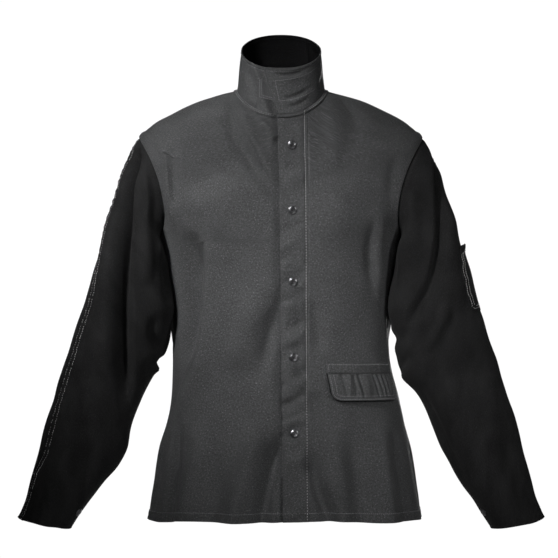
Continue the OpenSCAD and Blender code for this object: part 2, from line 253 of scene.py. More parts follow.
# A ring of the sleeve: x and z of its inner point, x and z of its outer one, and half of
# its depth from front to back
SLEEVE = np.array([
    [WAIST_HALF + 24, -250, SHOULDER_HALF, SHOULDER_Z, 66],
    [213, -268, 266, -96, 68],
    [209, -284, 282, -140, 71],
    [203, -306, 297, -196, 73],
    [197, -332, 313, -252, 73],
    [193, -362, 330, -312, 71],
    [191, -400, 349, -374, 68],
    [199, -437, 370, -437, 65],
    [220, -478, 388, -495, 61],
    [248, -532, 406, -555, 57],
    [272, -590, 424, -622, 53],
    [302, -650, 439, -680, 50],
    [336, -702, 450, -710, 47],
    [364, -743, 456, -722, 46],
], float)
CUFF = len(SLEEVE) - 1
SLEEVE_FORWARD = 42
# How far the first rings of the sleeve still follow the armhole's outline
FOLLOW = (1, 0.6, 0.25, 0.06, 0)


def oval(r, phi, forward):
    sine, cosine = sin_cos(phi)
    out = (1 + cosine) / 2
    y = -forward - r[..., 4] * sine
    return np.stack(same_shape(mix(r[..., 0], r[..., 2], out), y, mix(r[..., 1], r[..., 3], out)), -1)


def armhole_place(phi, spread=1.0):
    """Angle and row of the body where a line of the sleeve meets the armhole."""
    sine, cosine = sin_cos(phi)
    reach = np.where(sine > 0, FRONT_REACH, ARMHOLE_REACH) - ARMHOLE_GAP
    return 90 - reach * spread * sine, ARM_ROW + ARMHOLE_SHARE * spread * cosine


def sleeve_base(phi, k):
    """A point of the left sleeve: 0 is its outermost line, 90 its front, 180 under the arm."""
    phi, k = same_shape(phi, k)
    share = np.interp(k, np.arange(len(FOLLOW)), FOLLOW)[..., None]
    astray = body_point(*armhole_place(phi)) - oval(SLEEVE[0], phi, 0)
    return oval(row_between(SLEEVE, k), phi, SLEEVE_FORWARD * k / CUFF) + share * astray


# ---- Folds ---------------------------------------------------------------------------


def spline(points, steps=8):
    """A smooth line through a few points."""
    p = np.array(points, float)
    p = np.vstack([2 * p[0] - p[1], p, 2 * p[-1] - p[-2]])
    shares = np.arange(steps) / steps
    line = [through(*p[i - 1:i + 3], f) for i in range(1, len(p) - 2) for f in shares]
    return np.array(line + [p[-2]])


FADE = (0.35, 0.35)
TO_HEM = (0.4, 0)


def folds_on(place, rows):
    """Ridges, or valleys where the height is negative. A row holds the spots on a fold's path,
    its width and height, the shares of its length over which it fades in and out, and its
    lean: it's wider on its left side, seen along its path from outside, where that is positive."""
    made = []
    for spots, width, height, *rest in rows:
        path = spline([place(*spot) for spot in spots])
        made.append((path, width, height, *rest, *(FADE, 0.0)[len(rest):]))
    return made


def raised(base, normal, folds):
    """How far the folds lift each point along its normal."""
    shape = base.shape[:-1]
    p, n = base.reshape(-1, 3), normal.reshape(-1, 3)
    lift = np.zeros(len(p))
    for path, width, height, (first, last), lean in folds:
        reach = 3 * width
        near = np.all((p > path.min(0) - reach) & (p < path.max(0) + reach), axis=1)
        if not near.any():
            continue
        start, step = path[:-1], np.diff(path, axis=0)
        away = p[near][:, None] - start
        f = np.clip((away * step).sum(-1) / (step * step).sum(-1), 0, 1)
        gap = away - f[..., None] * step
        square = (gap * gap).sum(-1)
        i = square.argmin(1)
        pick = np.arange(len(i))
        side = np.sign((np.cross(n[near], step[i]) * gap[pick, i]).sum(-1))
        along = (i + f[pick, i]) / len(step)
        fade = smooth(along / first) if first else 1.0
        fade = fade * (smooth((1 - along) / last) if last else 1.0)
        lift[near] += height * bell(np.sqrt(square[pick, i]), width * (1 + lean * side)) * fade
    return lift.reshape(shape)


def ripples(base, seed, length, height, waves=9):
    """Gentle uneven swelling, the same at every run."""
    draw = np.random.default_rng(seed)
    total = np.zeros(base.shape[:-1])
    for _ in range(waves):
        direction = unit(draw.normal(size=3))
        size = length * draw.uniform(0.7, 1.6)
        total += np.sin(base @ direction * (2 * np.pi / size) + draw.uniform(0, 2 * np.pi))
    return height * total / math.sqrt(waves)


def front_spot(x, z):
    return body_point(angle_at(x, row_at(z)), row_at(z))


def back_spot(x, z):
    t = np.interp(z, RINGS[:, 7], np.arange(NECK + 1))
    return body_point(180 - angle_at(x, t), t)


def side_spot(angle, z):
    return body_point(angle, row_at(z))


SNAP_DROPS = [83, 195, 317, 444, 576]
SNAPS = [(HINGE_X / 2 - 4.5 + 0.009 * (drop - SNAP_DROPS[0]), -drop) for drop in SNAP_DROPS]

# Spots are (x, z) on the front and the back, and (angle, z) on the sides
FRONT_FOLDS = [
    # Wearer's right front: chest, drag lines from the neck, the fold beside the armhole
    (((-128, -150), (-98, -215), (-88, -300)), 56, 6, (0.3, 0.5)),
    (((-86, -20), (-53, -66), (-14, -140)), 12, 5, (0.15, 0.4)),
    (((-112, -28), (-84, -70), (-53, -112), (-16, -160)), 10, -5.5, (0.15, 0.3)),
    (((-40, -42), (-22, -58), (-5, -76)), 7, 3, (0.2, 0.2)),
    (((-56, -50), (-38, -74), (-24, -98)), 8, -2.2, (0.2, 0.6)),
    (((-26, -130), (-18, -160), (-14, -200)), 8, -2),
    (((-199, -100), (-196, -150), (-190, -205), (-184, -250)), 7, 3, (0.3, 0.4)),
    (((-186, -108), (-184, -160), (-178, -215)), 9, -2.6, (0.3, 0.4)),
    # The long ridge down the side and the plane beyond it
    (((-122, -214), (-128, -315), (-136, -416), (-160, -488), (-190, -580)), 22, 6.5, (0.15, 0.3), 0.45),
    (((-142, -228), (-143, -300), (-147, -360), (-152, -430), (-170, -510)), 20, -12, (0.22, 0.4), -0.4),
    (((-172, -540), (-184, -637), (-192, -722)), 13, -6, TO_HEM),
    (((-128, -545), (-154, -654), (-166, -722)), 18, 6, TO_HEM),
    # Drag lines from the placket
    (((2, -322), (-12, -380), (-26, -440), (-42, -500)), 13, -7, (0.35, 0.5)),
    (((-38, -318), (-62, -410), (-84, -480)), 20, 5),
    (((2, -560), (-14, -625), (-34, -722)), 13, -9.5, (0.45, 0)),
    (((-26, -548), (-58, -628), (-80, -722)), 19, 8.5, (0.3, 0)),
    (((-100, -600), (-118, -722)), 16, -4, (0.5, 0)),
    # Wearer's left front
    (((118, -150), (102, -215), (96, -300)), 55, 5, (0.2, 0.5)),
    (((176, -190), (168, -230), (168, -300), (176, -370)), 17, 3),
    (((158, -214), (152, -270), (162, -350)), 11, -3.4, (0.3, 0.4)),
    (((198, -120), (190, -170), (184, -230)), 12, -2.6, (0.3, 0.5)),
    (((70, -30), (92, -80), (84, -150)), 16, 3),
    (((104, -20), (124, -70), (122, -120)), 12, -3),
    (((49, -590), (59, -650), (84, -722)), 11, -9, TO_HEM),
    (((50, -500), (62, -538), (90, -584)), 12, -4.5, (0.3, 0.5)),
    (((88, -560), (104, -722)), 20, 5, (0.5, 0)),
    (((116, -540), (130, -630), (136, -722)), 20, -4.5, TO_HEM),
    (((190, -560), (206, -640), (218, -722)), 12, -5, TO_HEM),
    (((166, -550), (180, -640), (188, -722)), 16, 4.5, TO_HEM),
    (((56, -330), (62, -400), (60, -450)), 16, -3),
    # Placket, buckled between its snaps
    (((4, -122), (24, -128), (42, -120)), 9, -1, (0.2, 0.5)),
    (((3, -150), (24, -142), (43, -150)), 12, 2.2),
    (((3, -246), (24, -258), (44, -250)), 14, 2.4),
    (((20, -324), (34, -336), (45, -348)), 5, -2.2, (0.3, 0.4)),
    (((3, -350), (24, -362), (44, -366)), 9, 2.6),
    (((3, -384), (22, -388), (44, -384)), 8, -2.4),
    (((3, -408), (22, -414), (44, -410)), 9, 2.6),
    (((22, -456), (36, -468), (46, -478)), 5, -2.4, (0.3, 0.4)),
    (((2, -478), (22, -488), (44, -500)), 10, 3.6),
    (((2, -520), (22, -527), (44, -536)), 8, -3.4),
    (((2, -548), (20, -552), (44, -556)), 8, 2.2),
    (((6, -606), (26, -618), (44, -612)), 10, 2),
    (((4, -650), (26, -658), (44, -664)), 10, -2),
]
SIDE_FOLDS = [
    # Sides: short folds that hang from the armpit
    (((78, -262), (82, -330), (80, -420)), 12, -4),
    (((98, -270), (96, -340), (100, -450)), 13, 4.5),
    (((-98, -270), (-96, -340), (-100, -450)), 13, 4.5),
    (((-86, -540), (-84, -640), (-84, -722)), 14, 5, TO_HEM),
    (((100, -540), (102, -640), (104, -722)), 15, 5, TO_HEM),
]
BACK_FOLDS = [
    # Back: drags from the armholes to the small of the back, and a loose hem
    (((-186, -170), (-150, -260), (-96, -360)), 20, 7, (0.35, 0.35), -0.2),
    (((-170, -230), (-130, -300), (-80, -380)), 14, -5),
    (((190, -165), (156, -250), (104, -352)), 20, 7, (0.35, 0.35), 0.2),
    (((174, -236), (128, -310), (84, -376)), 14, -5),
    (((-60, -60), (-92, -120), (-104, -200)), 18, 4),
    (((64, -62), (96, -124), (100, -210)), 18, 4),
    (((-8, -120), (4, -260), (-4, -420)), 34, -4.5),
    (((-150, -430), (-120, -560), (-128, -724)), 24, 7, TO_HEM),
    (((-84, -450), (-70, -590), (-76, -724)), 18, -6, TO_HEM),
    (((-30, -470), (-20, -600), (-28, -724)), 22, 6, TO_HEM),
    (((34, -500), (40, -610), (34, -724)), 16, -5, TO_HEM),
    (((96, -450), (84, -590), (92, -724)), 22, 7, TO_HEM),
    (((150, -470), (148, -600), (158, -724)), 16, -5, TO_HEM),
    (((-120, -400), (-40, -432), (30, -424)), 12, 3),
    (((120, -410), (60, -446), (-10, -450)), 11, -3),
]
BODY_FOLDS = (
    folds_on(front_spot, FRONT_FOLDS) + folds_on(side_spot, SIDE_FOLDS)
    + folds_on(back_spot, BACK_FOLDS)
)
# The folds of the body and of the sleeves stand out this much more than their rows say
BODY_GAIN, SLEEVE_GAIN = 1.75, 1.3


def with_normals(point, u, v, du, dv, v_range):
    """The points of a surface and their outward directions."""
    low, high = np.clip(v - dv, *v_range), np.clip(v + dv, *v_range)
    across = point(u + du, v) - point(u - du, v)
    along = point(u, high) - point(u, low)
    return point(u, v), unit(np.cross(across, along))


SNAP_FLAT = 13


def calm_at_snaps(base, spots):
    """0 under each snap, so that the cloth lies on its metal, and 1 further away."""
    calm = np.ones(base.shape[:-1])
    for spot in spots:
        distance = np.linalg.norm(base - spot, axis=-1)
        calm *= 1 - np.exp(-(distance / SNAP_FLAT) ** 4)
    return calm


SNAP_SPOTS = [front_spot(x, z) for x, z in SNAPS]
BAND_W = 5.5
# Rows of the body: below the first lies the turned-up hem, above the second the neck's seam
HEM_T = 0.179
BAND_FROM = 10.3
PUCKER_FROM, PUCKER_TO = -6, 44
neck_line = body_point(np.linspace(-180, 180, 181), NECK)


def distance_to(line, base):
    away = base.reshape(-1, 1, 3) - line
    return np.sqrt((away * away).sum(-1).min(1)).reshape(base.shape[:-1])


def body_surface(angle, t):
    """Base points of the body cloth, their normals, and how far the folds lift them."""
    angle, t = same_shape(angle, t)
    base, normal = with_normals(body_point, angle, t, 0.5, 0.02, (0, NECK))
    lift = BODY_GAIN * raised(base, normal, BODY_FOLDS)
    lift += ripples(base, 3, 130, 0.9) + ripples(base, 5, 48, 0.28)
    # The placket's seam is a little shorter than its cloth, so the placket puckers
    x, z = base[..., 0], base[..., 2]
    phase = (z - 0.5 * x) / 11 + 0.9 * np.sin(z / 29)
    pucker = (2.6 * np.abs(np.sin(phase)) ** 0.7 - 1.9) * (0.65 + 0.35 * np.sin(z / 43 + 1))
    window = smooth((x - PUCKER_FROM) / 10) * smooth((PUCKER_TO - x) / 8) * (base[..., 1] < 0)
    lift += (0.8 + 1.5 * smooth((-220 - z) / 120)) * pucker * window
    lift *= smooth((NECK - t) / 0.5) * calm_at_snaps(base, SNAP_SPOTS)
    # The shoulder falls away evenly to its tip
    lift -= 4.2 * bell(t - 7.45, 0.32) * np.abs(sin_cos(angle)[0]) ** 6
    # The seam allowance of the collar is turned down and stitched flat
    allowance = smooth((BAND_W + 1 - distance_to(neck_line, base)) / 1.5)
    lift += np.where(t > BAND_FROM, 1.9, 0.0) * allowance
    # The turned-up hem is thicker, and its edge ropes a little
    above = t / HEM_T
    lift += 0.9 * smooth((1.05 - above) / 0.08)
    lift += 0.5 * np.sin(angle * 2.2 + t * 30) * smooth((1 - above) / 0.4)
    swing = 1.6 * np.sin(angle / 9.0) * smooth(1 - t / 0.4)
    return base + swing[..., None] * [0, 0, 1], normal, lift


def collar_spot(x, h):
    return collar_base(collar_x(x, h), h)


TOPSTITCH = 0.915
# Spots are (x, h) on the collar's front, then (angle, h) round it
COLLAR_FOLDS = folds_on(collar_spot, [
    (((-26, 0.84), (14, 0.855), (47, 0.86)), 4, -3.3),
    (((-22, 0.9), (14, 0.91), (47, 0.91)), 3, 1.5),
    (((0, 0.345), (27, 0.37), (56, 0.44)), 3.2, -4.2),
    (((4, 0.24), (27, 0.27), (52, 0.34)), 5, 2.7),
    (((-12, 0.74), (20, 0.75), (50, 0.79)), 4, 2.1),
    (((4, 0.12), (27, 0.17), (52, 0.25)), 5, -1.5),
    (((-67, 0.95), (-67, 0.55), (-63, 0.25)), 6, 3),
    (((-54, 0.86), (-50, 0.6), (-44, 0.3)), 8, -3.6),
    (((-61, 0.8), (-60, 0.5), (-58, 0.25)), 5, 2.4),
    (((-54, 0.22), (-46, 0.13), (-36, 0.12)), 5, 2.7),
]) + folds_on(collar_base, [
    (((110, 0.2), (120, 0.6), (112, 0.95)), 14, 2.5),
    (((-118, 0.1), (-112, 0.5), (-120, 0.9)), 14, -2.5),
    (((150, 0.3), (180, 0.4), (212, 0.3)), 9, -1.8),
    (((60, 0.15), (75, 0.35), (95, 0.5)), 9, -2.2),
])


def collar_surface(angle, h):
    angle, h = same_shape(angle, h)
    base, normal = with_normals(collar_base, angle, h, 0.5, 0.02, (0, 1))
    lift = raised(base, normal, COLLAR_FOLDS) + ripples(base, 11, 60, 0.5)
    lift *= smooth(h / 0.12)
    # The rim is rolled over its seam, and its topstitch pulls it in
    lift += 0.7 * smooth((h - 0.92) / 0.02) - 0.6 * bell(h - TOPSTITCH, 0.008)
    return base, normal, lift


def at_depth(surface, depth):
    """The surface's points, sunk below its folded outside by a depth."""
    base, normal, lift = surface
    return base + normal * (lift - depth)[..., None]


# ---- Meshes --------------------------------------------------------------------------


def mesh_object(name, points, faces, finish, flat=None):
    mesh = bpy.data.meshes.new(name)
    mesh.from_pydata((np.asarray(points) * MM).tolist(), [], [list(map(int, f)) for f in faces])
    mesh.materials.append(finish)
    mesh.polygons.foreach_set("use_smooth", [True] * len(mesh.polygons))
    if flat is not None:
        layer = mesh.uv_layers.new(name="flat")
        corner = np.zeros(len(mesh.loops), int)
        mesh.loops.foreach_get("vertex_index", corner)
        layer.data.foreach_set("uv", (np.asarray(flat)[corner] * MM).ravel())
    mesh.validate()
    mesh.update()
    made = bpy.data.objects.new(name, mesh)
    bpy.context.scene.collection.objects.link(made)
    return made


def flat_places(grid):
    """Where each point of a grid lies on the flat cloth, by the lengths between them."""
    across = np.linalg.norm(np.diff(grid, axis=1), axis=-1)
    along = np.linalg.norm(np.diff(grid, axis=0), axis=-1)
    u = np.concatenate([np.zeros((len(grid), 1)), np.cumsum(across, 1)], 1)
    v = np.concatenate([np.zeros((1, grid.shape[1])), np.cumsum(along, 0)], 0)
    middle = grid.shape[1] // 2
    return np.stack([u - u[:, middle:middle + 1], v], -1)


# A layer's rim is drawn in by this share of its thickness, and by this much at most
ROUND_SHARE, ROUND_MOST = 0.42, 0.9


def shell(name, outer, inner, finish, keep=None, held="hung", mirrored=False, seam=None):
    """One closed layer of cloth between two grids, with softly rounded edges. Its first or last
    column stays sharp where it's sewn to its neighbour: seam is 0 or the last column."""
    rows, cols = outer.shape[:2]
    size = rows * cols
    keep = np.ones((rows - 1, cols - 1), bool) if keep is None else keep
    index = np.arange(size).reshape(rows, cols)
    quads = np.stack([index[:-1, :-1], index[:-1, 1:], index[1:, 1:], index[1:, :-1]], -1)[keep]
    flat = flat_places(outer).reshape(-1, 2)
    if mirrored:
        outer, inner = outer * [-1, 1, 1], inner * [-1, 1, 1]
    o, i = outer.reshape(-1, 3).copy(), inner.reshape(-1, 3).copy()
    starts, ends = quads.ravel(), np.roll(quads, -1, axis=1).ravel()
    edge = ~np.isin(starts * size + ends, ends * size + starts)
    starts, ends = starts[edge], ends[edge]
    rim = np.unique(starts)
    middle = (o + i) / 2
    inward = np.zeros_like(o)
    turn = -1 if mirrored else 1
    along = unit(o[ends] - o[starts])
    side = turn * unit(np.cross(o[starts] - i[starts], along))
    np.add.at(inward, starts, side)
    np.add.at(inward, ends, side)
    thick = np.linalg.norm(o - i, axis=1, keepdims=True)
    shift = unit(inward[rim]) * np.minimum(thick[rim] * ROUND_SHARE, ROUND_MOST)
    if seam is not None:
        shift[rim % cols == seam] *= 0.08
    o[rim] += shift
    i[rim] += shift
    rim_of = np.full(size, -1)
    rim_of[rim] = np.arange(len(rim)) + 2 * size
    walls = np.stack([ends, starts, rim_of[starts], rim_of[ends]], -1)
    under = np.stack([rim_of[ends], rim_of[starts], starts + size, ends + size], -1)
    faces = np.concatenate([quads, quads[:, ::-1] + size, walls, under])
    if mirrored:
        faces = faces[:, ::-1]
    points = np.concatenate([o, i, middle[rim]])
    used = np.unique(faces)
    renumber = np.full(len(points), -1)
    renumber[used] = np.arange(len(used))
    places = np.concatenate([flat, flat, flat[rim]])
    made = mesh_object(name, points[used], renumber[faces], finish, places[used])
    return made


def thread(name, rows, finish, pitch=3.4, radius=0.4, fill=0.74):
    """Rows of stitches. A row is the points it runs along and the directions outward."""
    sides = 6
    stations = np.array([-0.5, -0.3, 0.3, 0.5]) * fill
    heights = np.array([-0.5, 0.55, 0.55, -0.5]) * radius
    widths = np.array([0.5, 1.0, 1.0, 0.5]) * radius
    points, faces, count = [], [], 0
    sine, cosine = (part[None, :, None] for part in sin_cos(np.arange(sides) * 360 / sides))

    def at(values, place):
        return np.stack([np.interp(place, run, values[:, axis]) for axis in range(3)], -1)

    for line, outward in rows:
        step = np.linalg.norm(np.diff(line, axis=0), axis=1)
        run = np.concatenate([[0], np.cumsum(step)])
        number = max(int(run[-1] / pitch), 1)
        for centre in (np.arange(number) + 0.5) * run[-1] / number:
            place = centre + stations * pitch
            spot, up = at(line, place), unit(at(outward, place))
            over = unit(np.cross(up, unit(spot[-1] - spot[0])))
            middle = spot + up * heights[:, None]
            around = cosine * over[:, None] + sine * up[:, None]
            points.append((middle[:, None] + widths[:, None, None] * around).reshape(-1, 3))
            for level in range(3):
                for k in range(sides):
                    a, b = count + level * sides + k, count + level * sides + (k + 1) % sides
                    faces.append([a, b, b + sides, a + sides])
            faces.append([count + k for k in reversed(range(sides))])
            faces.append([count + 3 * sides + k for k in range(sides)])
            count += 4 * sides
    return mesh_object(name, np.concatenate(points), faces, finish)


def row_below(surface, depth):
    """The line a row of stitches runs along, at a depth below a folded surface."""
    return at_depth(surface, depth), surface[1]


# ---- Materials -----------------------------------------------------------------------


class Finish:
    """A material in the making. Its places are on the flat cloth, or else on the object; all
    sizes are in metres."""

    def __init__(self, name, roughness, flat=True, **sockets):
        self.material = bpy.data.materials.new(name)
        self.material.use_nodes = True
        self.nodes = self.material.node_tree.nodes
        self.shader = self.nodes["Principled BSDF"]
        self.fill(self.shader, Roughness=roughness, **sockets)
        places = self.nodes.new("ShaderNodeUVMap" if flat else "ShaderNodeTexCoord")
        if flat:
            places.uv_map = "flat"
        self.place = places.outputs["UV" if flat else "Object"]

    def feed(self, socket, value):
        """Give a socket a plain value, or link it to another node's output."""
        if isinstance(value, bpy.types.NodeSocket):
            self.material.node_tree.links.new(value, socket)
        else:
            socket.default_value = value

    def fill(self, node, **sockets):
        for socket, value in sockets.items():
            self.feed(node.inputs[socket.replace("_", " ")], value)
        return node

    def node(self, kind, **sockets):
        return self.fill(self.nodes.new("ShaderNode" + kind), **sockets)

    def wave(self, direction, period, turn=0.0):
        """Parallel threads."""
        turned = self.node("Mapping", Vector=self.place, Rotation=(0, 0, math.radians(turn)))
        scale = 2 * math.pi / (20 * period)
        made = self.node("TexWave", Vector=turned.outputs["Vector"], Scale=scale)
        made.wave_type = "BANDS"
        made.bands_direction = direction
        return made.outputs["Fac"]

    def noise(self, size, detail=3.0, rough=0.6, place=None):
        """Uneven spots."""
        made = self.node("TexNoise", Vector=place or self.place, Scale=1 / size,
                         Detail=detail, Roughness=rough)
        return made.outputs["Fac"]

    def cells(self, size, **sockets):
        """The distance from the middle of small cells."""
        made = self.node("TexVoronoi", Vector=self.place, Scale=1 / size, **sockets)
        return made.outputs["Distance"]

    def maths(self, kind, a, b):
        made = self.nodes.new("ShaderNodeMath")
        made.operation = kind
        self.feed(made.inputs[0], a)
        self.feed(made.inputs[1], b)
        return made.outputs[0]

    def plus(self, a, b):
        return self.maths("ADD", a, b)

    def times(self, a, b):
        return self.maths("MULTIPLY", a, b)

    def spread(self, value, low, high, to_low=0.0, to_high=1.0):
        made = self.node("MapRange", Value=value, From_Min=low, From_Max=high,
                         To_Min=to_low, To_Max=to_high)
        return made.outputs["Result"]

    def tint(self, value, dark, light, clamped=True):
        """The base colour: dark where the value is 0 and light where it's 1."""
        made = self.nodes.new("ShaderNodeMix")
        made.data_type = "RGBA"
        made.clamp_factor = clamped
        self.fill(made, Factor=value, A=(*dark, 1), B=(*light, 1))
        self.fill(self.shader, Base_Color=made.outputs["Result"])

    def bump(self, height, distance):
        made = self.node("Bump", Height=height, Distance=distance, Strength=1.0)
        self.fill(self.shader, Normal=made.outputs["Normal"])


def woven(name, dark, light, wale=0.0009, sheen=0.03, shine=0.35):
    """Cotton twill: diagonal wales crossed by finer threads, lint and faint mottling."""
    made = Finish(name, 0.55, Sheen_Weight=sheen, Sheen_Roughness=0.45, Specular_IOR_Level=shine)
    flecks = made.noise(0.003, 2.0, 0.8)
    weave = made.times(made.wave("X", wale, 62), made.wave("Y", wale * 0.62))
    tone = made.plus(made.times(flecks, 0.62), made.times(made.noise(0.045, 4.0, 0.55), 0.12))
    tone = made.spread(made.plus(tone, made.times(weave, 0.18)), 0.32, 0.56)
    lint = made.spread(made.noise(0.0024, 1.0), 0.62, 0.72, 0.0, 1.5)
    made.tint(made.plus(tone, lint), dark, light, clamped=False)
    made.fill(made.shader, Roughness=made.spread(flecks, 0.3, 0.7, 0.47, 0.65))
    made.bump(made.plus(weave, made.times(made.noise(0.0006, 2.0), 0.6)), 0.0003)
    return made.material


def suede(name, dark, light):
    """Split leather: a short uneven nap with pale flecks, rubbed patches and fine pits."""
    made = Finish(name, 0.85, Sheen_Weight=0.02, Sheen_Roughness=0.5, Specular_IOR_Level=0.12)
    rubbed = made.noise(0.06, 4.0, 0.6)
    flecks = made.spread(made.noise(0.0024, 4.0, 0.85), 0.42, 0.78)
    tone = made.plus(made.times(flecks, 0.7), made.times(made.spread(rubbed, 0.35, 0.7), 0.3))
    dust = made.spread(made.noise(0.0017, 1.0), 0.68, 0.76, 0.0, 0.3)
    made.tint(made.plus(tone, made.times(dust, 6.0)), dark, light, clamped=False)
    made.fill(made.shader, Roughness=made.spread(rubbed, 0.3, 0.7, 0.92, 0.76))
    nap = made.noise(0.0012, 5.0, 0.7)
    made.bump(made.plus(nap, made.times(made.cells(0.003), 0.5)), 0.0005)
    return made.material


def spun(name, dark, light):
    """Sewing thread: twisted plies with a little fluff."""
    made = Finish(name, 0.6, flat=False, Sheen_Weight=0.2, Specular_IOR_Level=0.35)
    plies = made.wave("DIAGONAL", 0.0009)
    made.tint(made.spread(made.times(plies, made.noise(0.004)), 0.1, 0.5), dark, light)
    made.bump(plies, 0.00012)
    return made.material


def pressed_metal(name, dark, light, roughness):
    """Blackened brass: brushed by handling, with fine scratches and rubbed high spots."""
    made = Finish(name, roughness, flat=False, Metallic=1.0)
    stretched = made.node("Mapping", Vector=made.place, Scale=(1, 1, 9))
    scratches = made.noise(0.0012, 4.0, 0.7, stretched.outputs["Vector"])
    made.tint(made.spread(made.noise(0.005), 0.35, 0.68), dark, light)
    worn = made.spread(scratches, 0.3, 0.75, roughness - 0.08, roughness + 0.16)
    made.fill(made.shader, Roughness=worn)
    made.bump(scratches, 0.00005)
    return made.material


def pile(name, dark, light, size):
    """Hook or loop tape: rows of tiny tufts on a woven ground."""
    made = Finish(name, 0.7, Sheen_Weight=0.2, Specular_IOR_Level=0.4)
    tufts = made.cells(size, Randomness=0.35)
    made.tint(made.spread(tufts, 0.0, 0.7, 1.0, 0.0), dark, light)
    made.bump(made.maths("SUBTRACT", made.noise(size * 0.5, 3.0, 0.7), tufts), 0.0006)
    return made.material


CLOTH = woven("charcoal_twill", (0.0185, 0.019, 0.0198), (0.08, 0.081, 0.083))
INSIDE = woven(
    "dark_twill", (0.0022, 0.0022, 0.0024), (0.0075, 0.0075, 0.008), sheen=0.0, shine=0.06
)
BAG_CLOTH = woven("pocketing", (0.022, 0.022, 0.024), (0.045, 0.045, 0.048), wale=0.0007)
LEATHER = suede("split_leather", (0.0038, 0.0038, 0.0039), (0.024, 0.024, 0.0245))
THREAD = spun("grey_thread", (0.13, 0.13, 0.135), (0.30, 0.30, 0.31))
PALE_THREAD = spun("pale_thread", (0.3, 0.3, 0.3), (0.62, 0.62, 0.62))
SEAM_THREAD = spun("light_grey_thread", (0.3, 0.3, 0.303), (0.6, 0.6, 0.605))
CAP_METAL = pressed_metal("blackened_caps", (0.1, 0.1, 0.104), (0.23, 0.23, 0.24), 0.27)
SNAP_METAL = pressed_metal("plain_snap_metal", (0.28, 0.27, 0.26), (0.5, 0.49, 0.47), 0.32)
HOOKS = pile("hook_tape", (0.010, 0.010, 0.011), (0.035, 0.035, 0.037), 0.0012)
LOOPS = pile("loop_tape", (0.024, 0.0245, 0.026), (0.07, 0.07, 0.073), 0.0008)
TAPE = woven("hanger_tape", (0.012, 0.012, 0.013), (0.04, 0.04, 0.042), wale=0.0013)
FINISHES = {
    "body_cloth": CLOTH, "facing_cloth": INSIDE, "split_leather": LEATHER,
    "hook_tape": HOOKS, "loop_tape": LOOPS, "hanger_tape": TAPE,
}


# ---- Body panels ---------------------------------------------------------------------

CLOTH_T = 1.8
FACING_T = 1.2
HEM = 22
STAND_AT = 5.6
PLACKET_T = 1.4
FACING_AT = PLACKET_T + 0.2
STAND_FACING_AT = STAND_AT + 1.6 + 0.7
EDGE_AT_NECK, EDGE_AT_RIM = -6, -32
STEP_W = 12

hem_rows = row_at(HEM_FRONT_Z + np.array([0, 1.2, 3, 6, 9, 12, 15, 18, 20.5, HEM, 23.5, 26]))
low_rows = row_at(np.arange(HEM_FRONT_Z + 30, -252, 5))
arm_turns = np.concatenate([[0], np.arange(13.5, 167, 4.5), [180]])
arm_rows = ARM_ROW - sin_cos(arm_turns)[1]
top_rows = np.concatenate([np.arange(7.1, 10.45, 0.1), np.linspace(10.5, NECK, 26)])
ROWS = np.concatenate([hem_rows, low_rows, arm_rows, top_rows])
HEM_ROW = float(row_at(HEM_FRONT_Z + HEM))
rows_column = ROWS[:, None]


def even_share(cols):
    return np.linspace(0, 1, cols + 1)


def panel(start, stop, cols):
    """The body surface between two angles that may change from row to row."""
    return body_surface(mix(start, stop, even_share(cols)), rows_column)


def placket_edge(t):
    return mix(3, EDGE_AT_NECK, t / NECK)


def stand_share(base, t):
    """How far the button stand has stepped down under the placket: 0 to 1."""
    return np.where(base[..., 1] > 0, 0, smooth((base[..., 0] - placket_edge(t) + STEP_W + 2) / STEP_W))


def fasten(made, hold, slot, *nodes):
    """A piece rides on a body, or hold is a function that is called on it."""
    if callable(hold):
        hold(made)
    else:
        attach(made, hold)
    if nodes:
        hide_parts(*nodes)


def cloth(name, surface, top, thick, hold, slot, node, **shape):
    """A sheet whose outside lies at a depth below a folded surface."""
    outer, inner = at_depth(surface, top), at_depth(surface, top + thick)
    fasten(shell(name, outer, inner, FINISHES[slot], **shape), hold, slot, node)


# The hem's cloth is folded over twice
HEM_EXTRA = 1.7
thick = CLOTH_T + HEM_EXTRA * smooth((1.05 - rows_column / HEM_ROW) / 0.08)
front_edge, rear_edge = edge_angle(rows_column), edge_angle(rows_column, ARMHOLE_REACH)
hinge_angle = angle_at(HINGE_X, rows_column)

surface = panel(-front_edge, angle_at(STAND_X, rows_column), 84)
sunk = STAND_AT * stand_share(surface[0], rows_column)
cloth("right_front_cloth", surface, sunk, thick, "root", "body_cloth", "right_front_panel")

# The left front has the pocket's slit between these heights and angles
SLIT_TOP, SLIT_FOOT = -474.5, -484.5
SLIT_FROM, SLIT_TO = 25, 61
LEFT_COLS = 72
surface = panel(hinge_angle, front_edge, LEFT_COLS)
middle_z = (surface[0][:-1, :-1, 2] + surface[0][1:, 1:, 2]) / 2
middle_angle = mix(hinge_angle, front_edge, even_share(LEFT_COLS))[:-1, :-1]
slit = (middle_z < SLIT_TOP) & (middle_z > SLIT_FOOT)
slit &= (middle_angle > SLIT_FROM) & (middle_angle < SLIT_TO)
cloth("left_front_cloth", surface, 0, thick, "root", "body_cloth", "left_front_panel",
      keep=~slit, seam=0)

surface = panel(180 - rear_edge, 180 + rear_edge, 120)
cloth("back_cloth", surface, 0, thick, "root", "body_cloth", "back_panel")

surface = panel(angle_at(0, rows_column), angle_at(STAND_X - 1, rows_column), 8)
cloth("right_facing_cloth", surface, STAND_FACING_AT, FACING_T, "root", "facing_cloth",
      "right_front_facing")

# ---- Placket -------------------------------------------------------------------------

ROW_AT_HEM, ROW_AT_NECK = 44.4, 39.5


def placket_row(t):
    return mix(ROW_AT_HEM, ROW_AT_NECK, t / NECK)


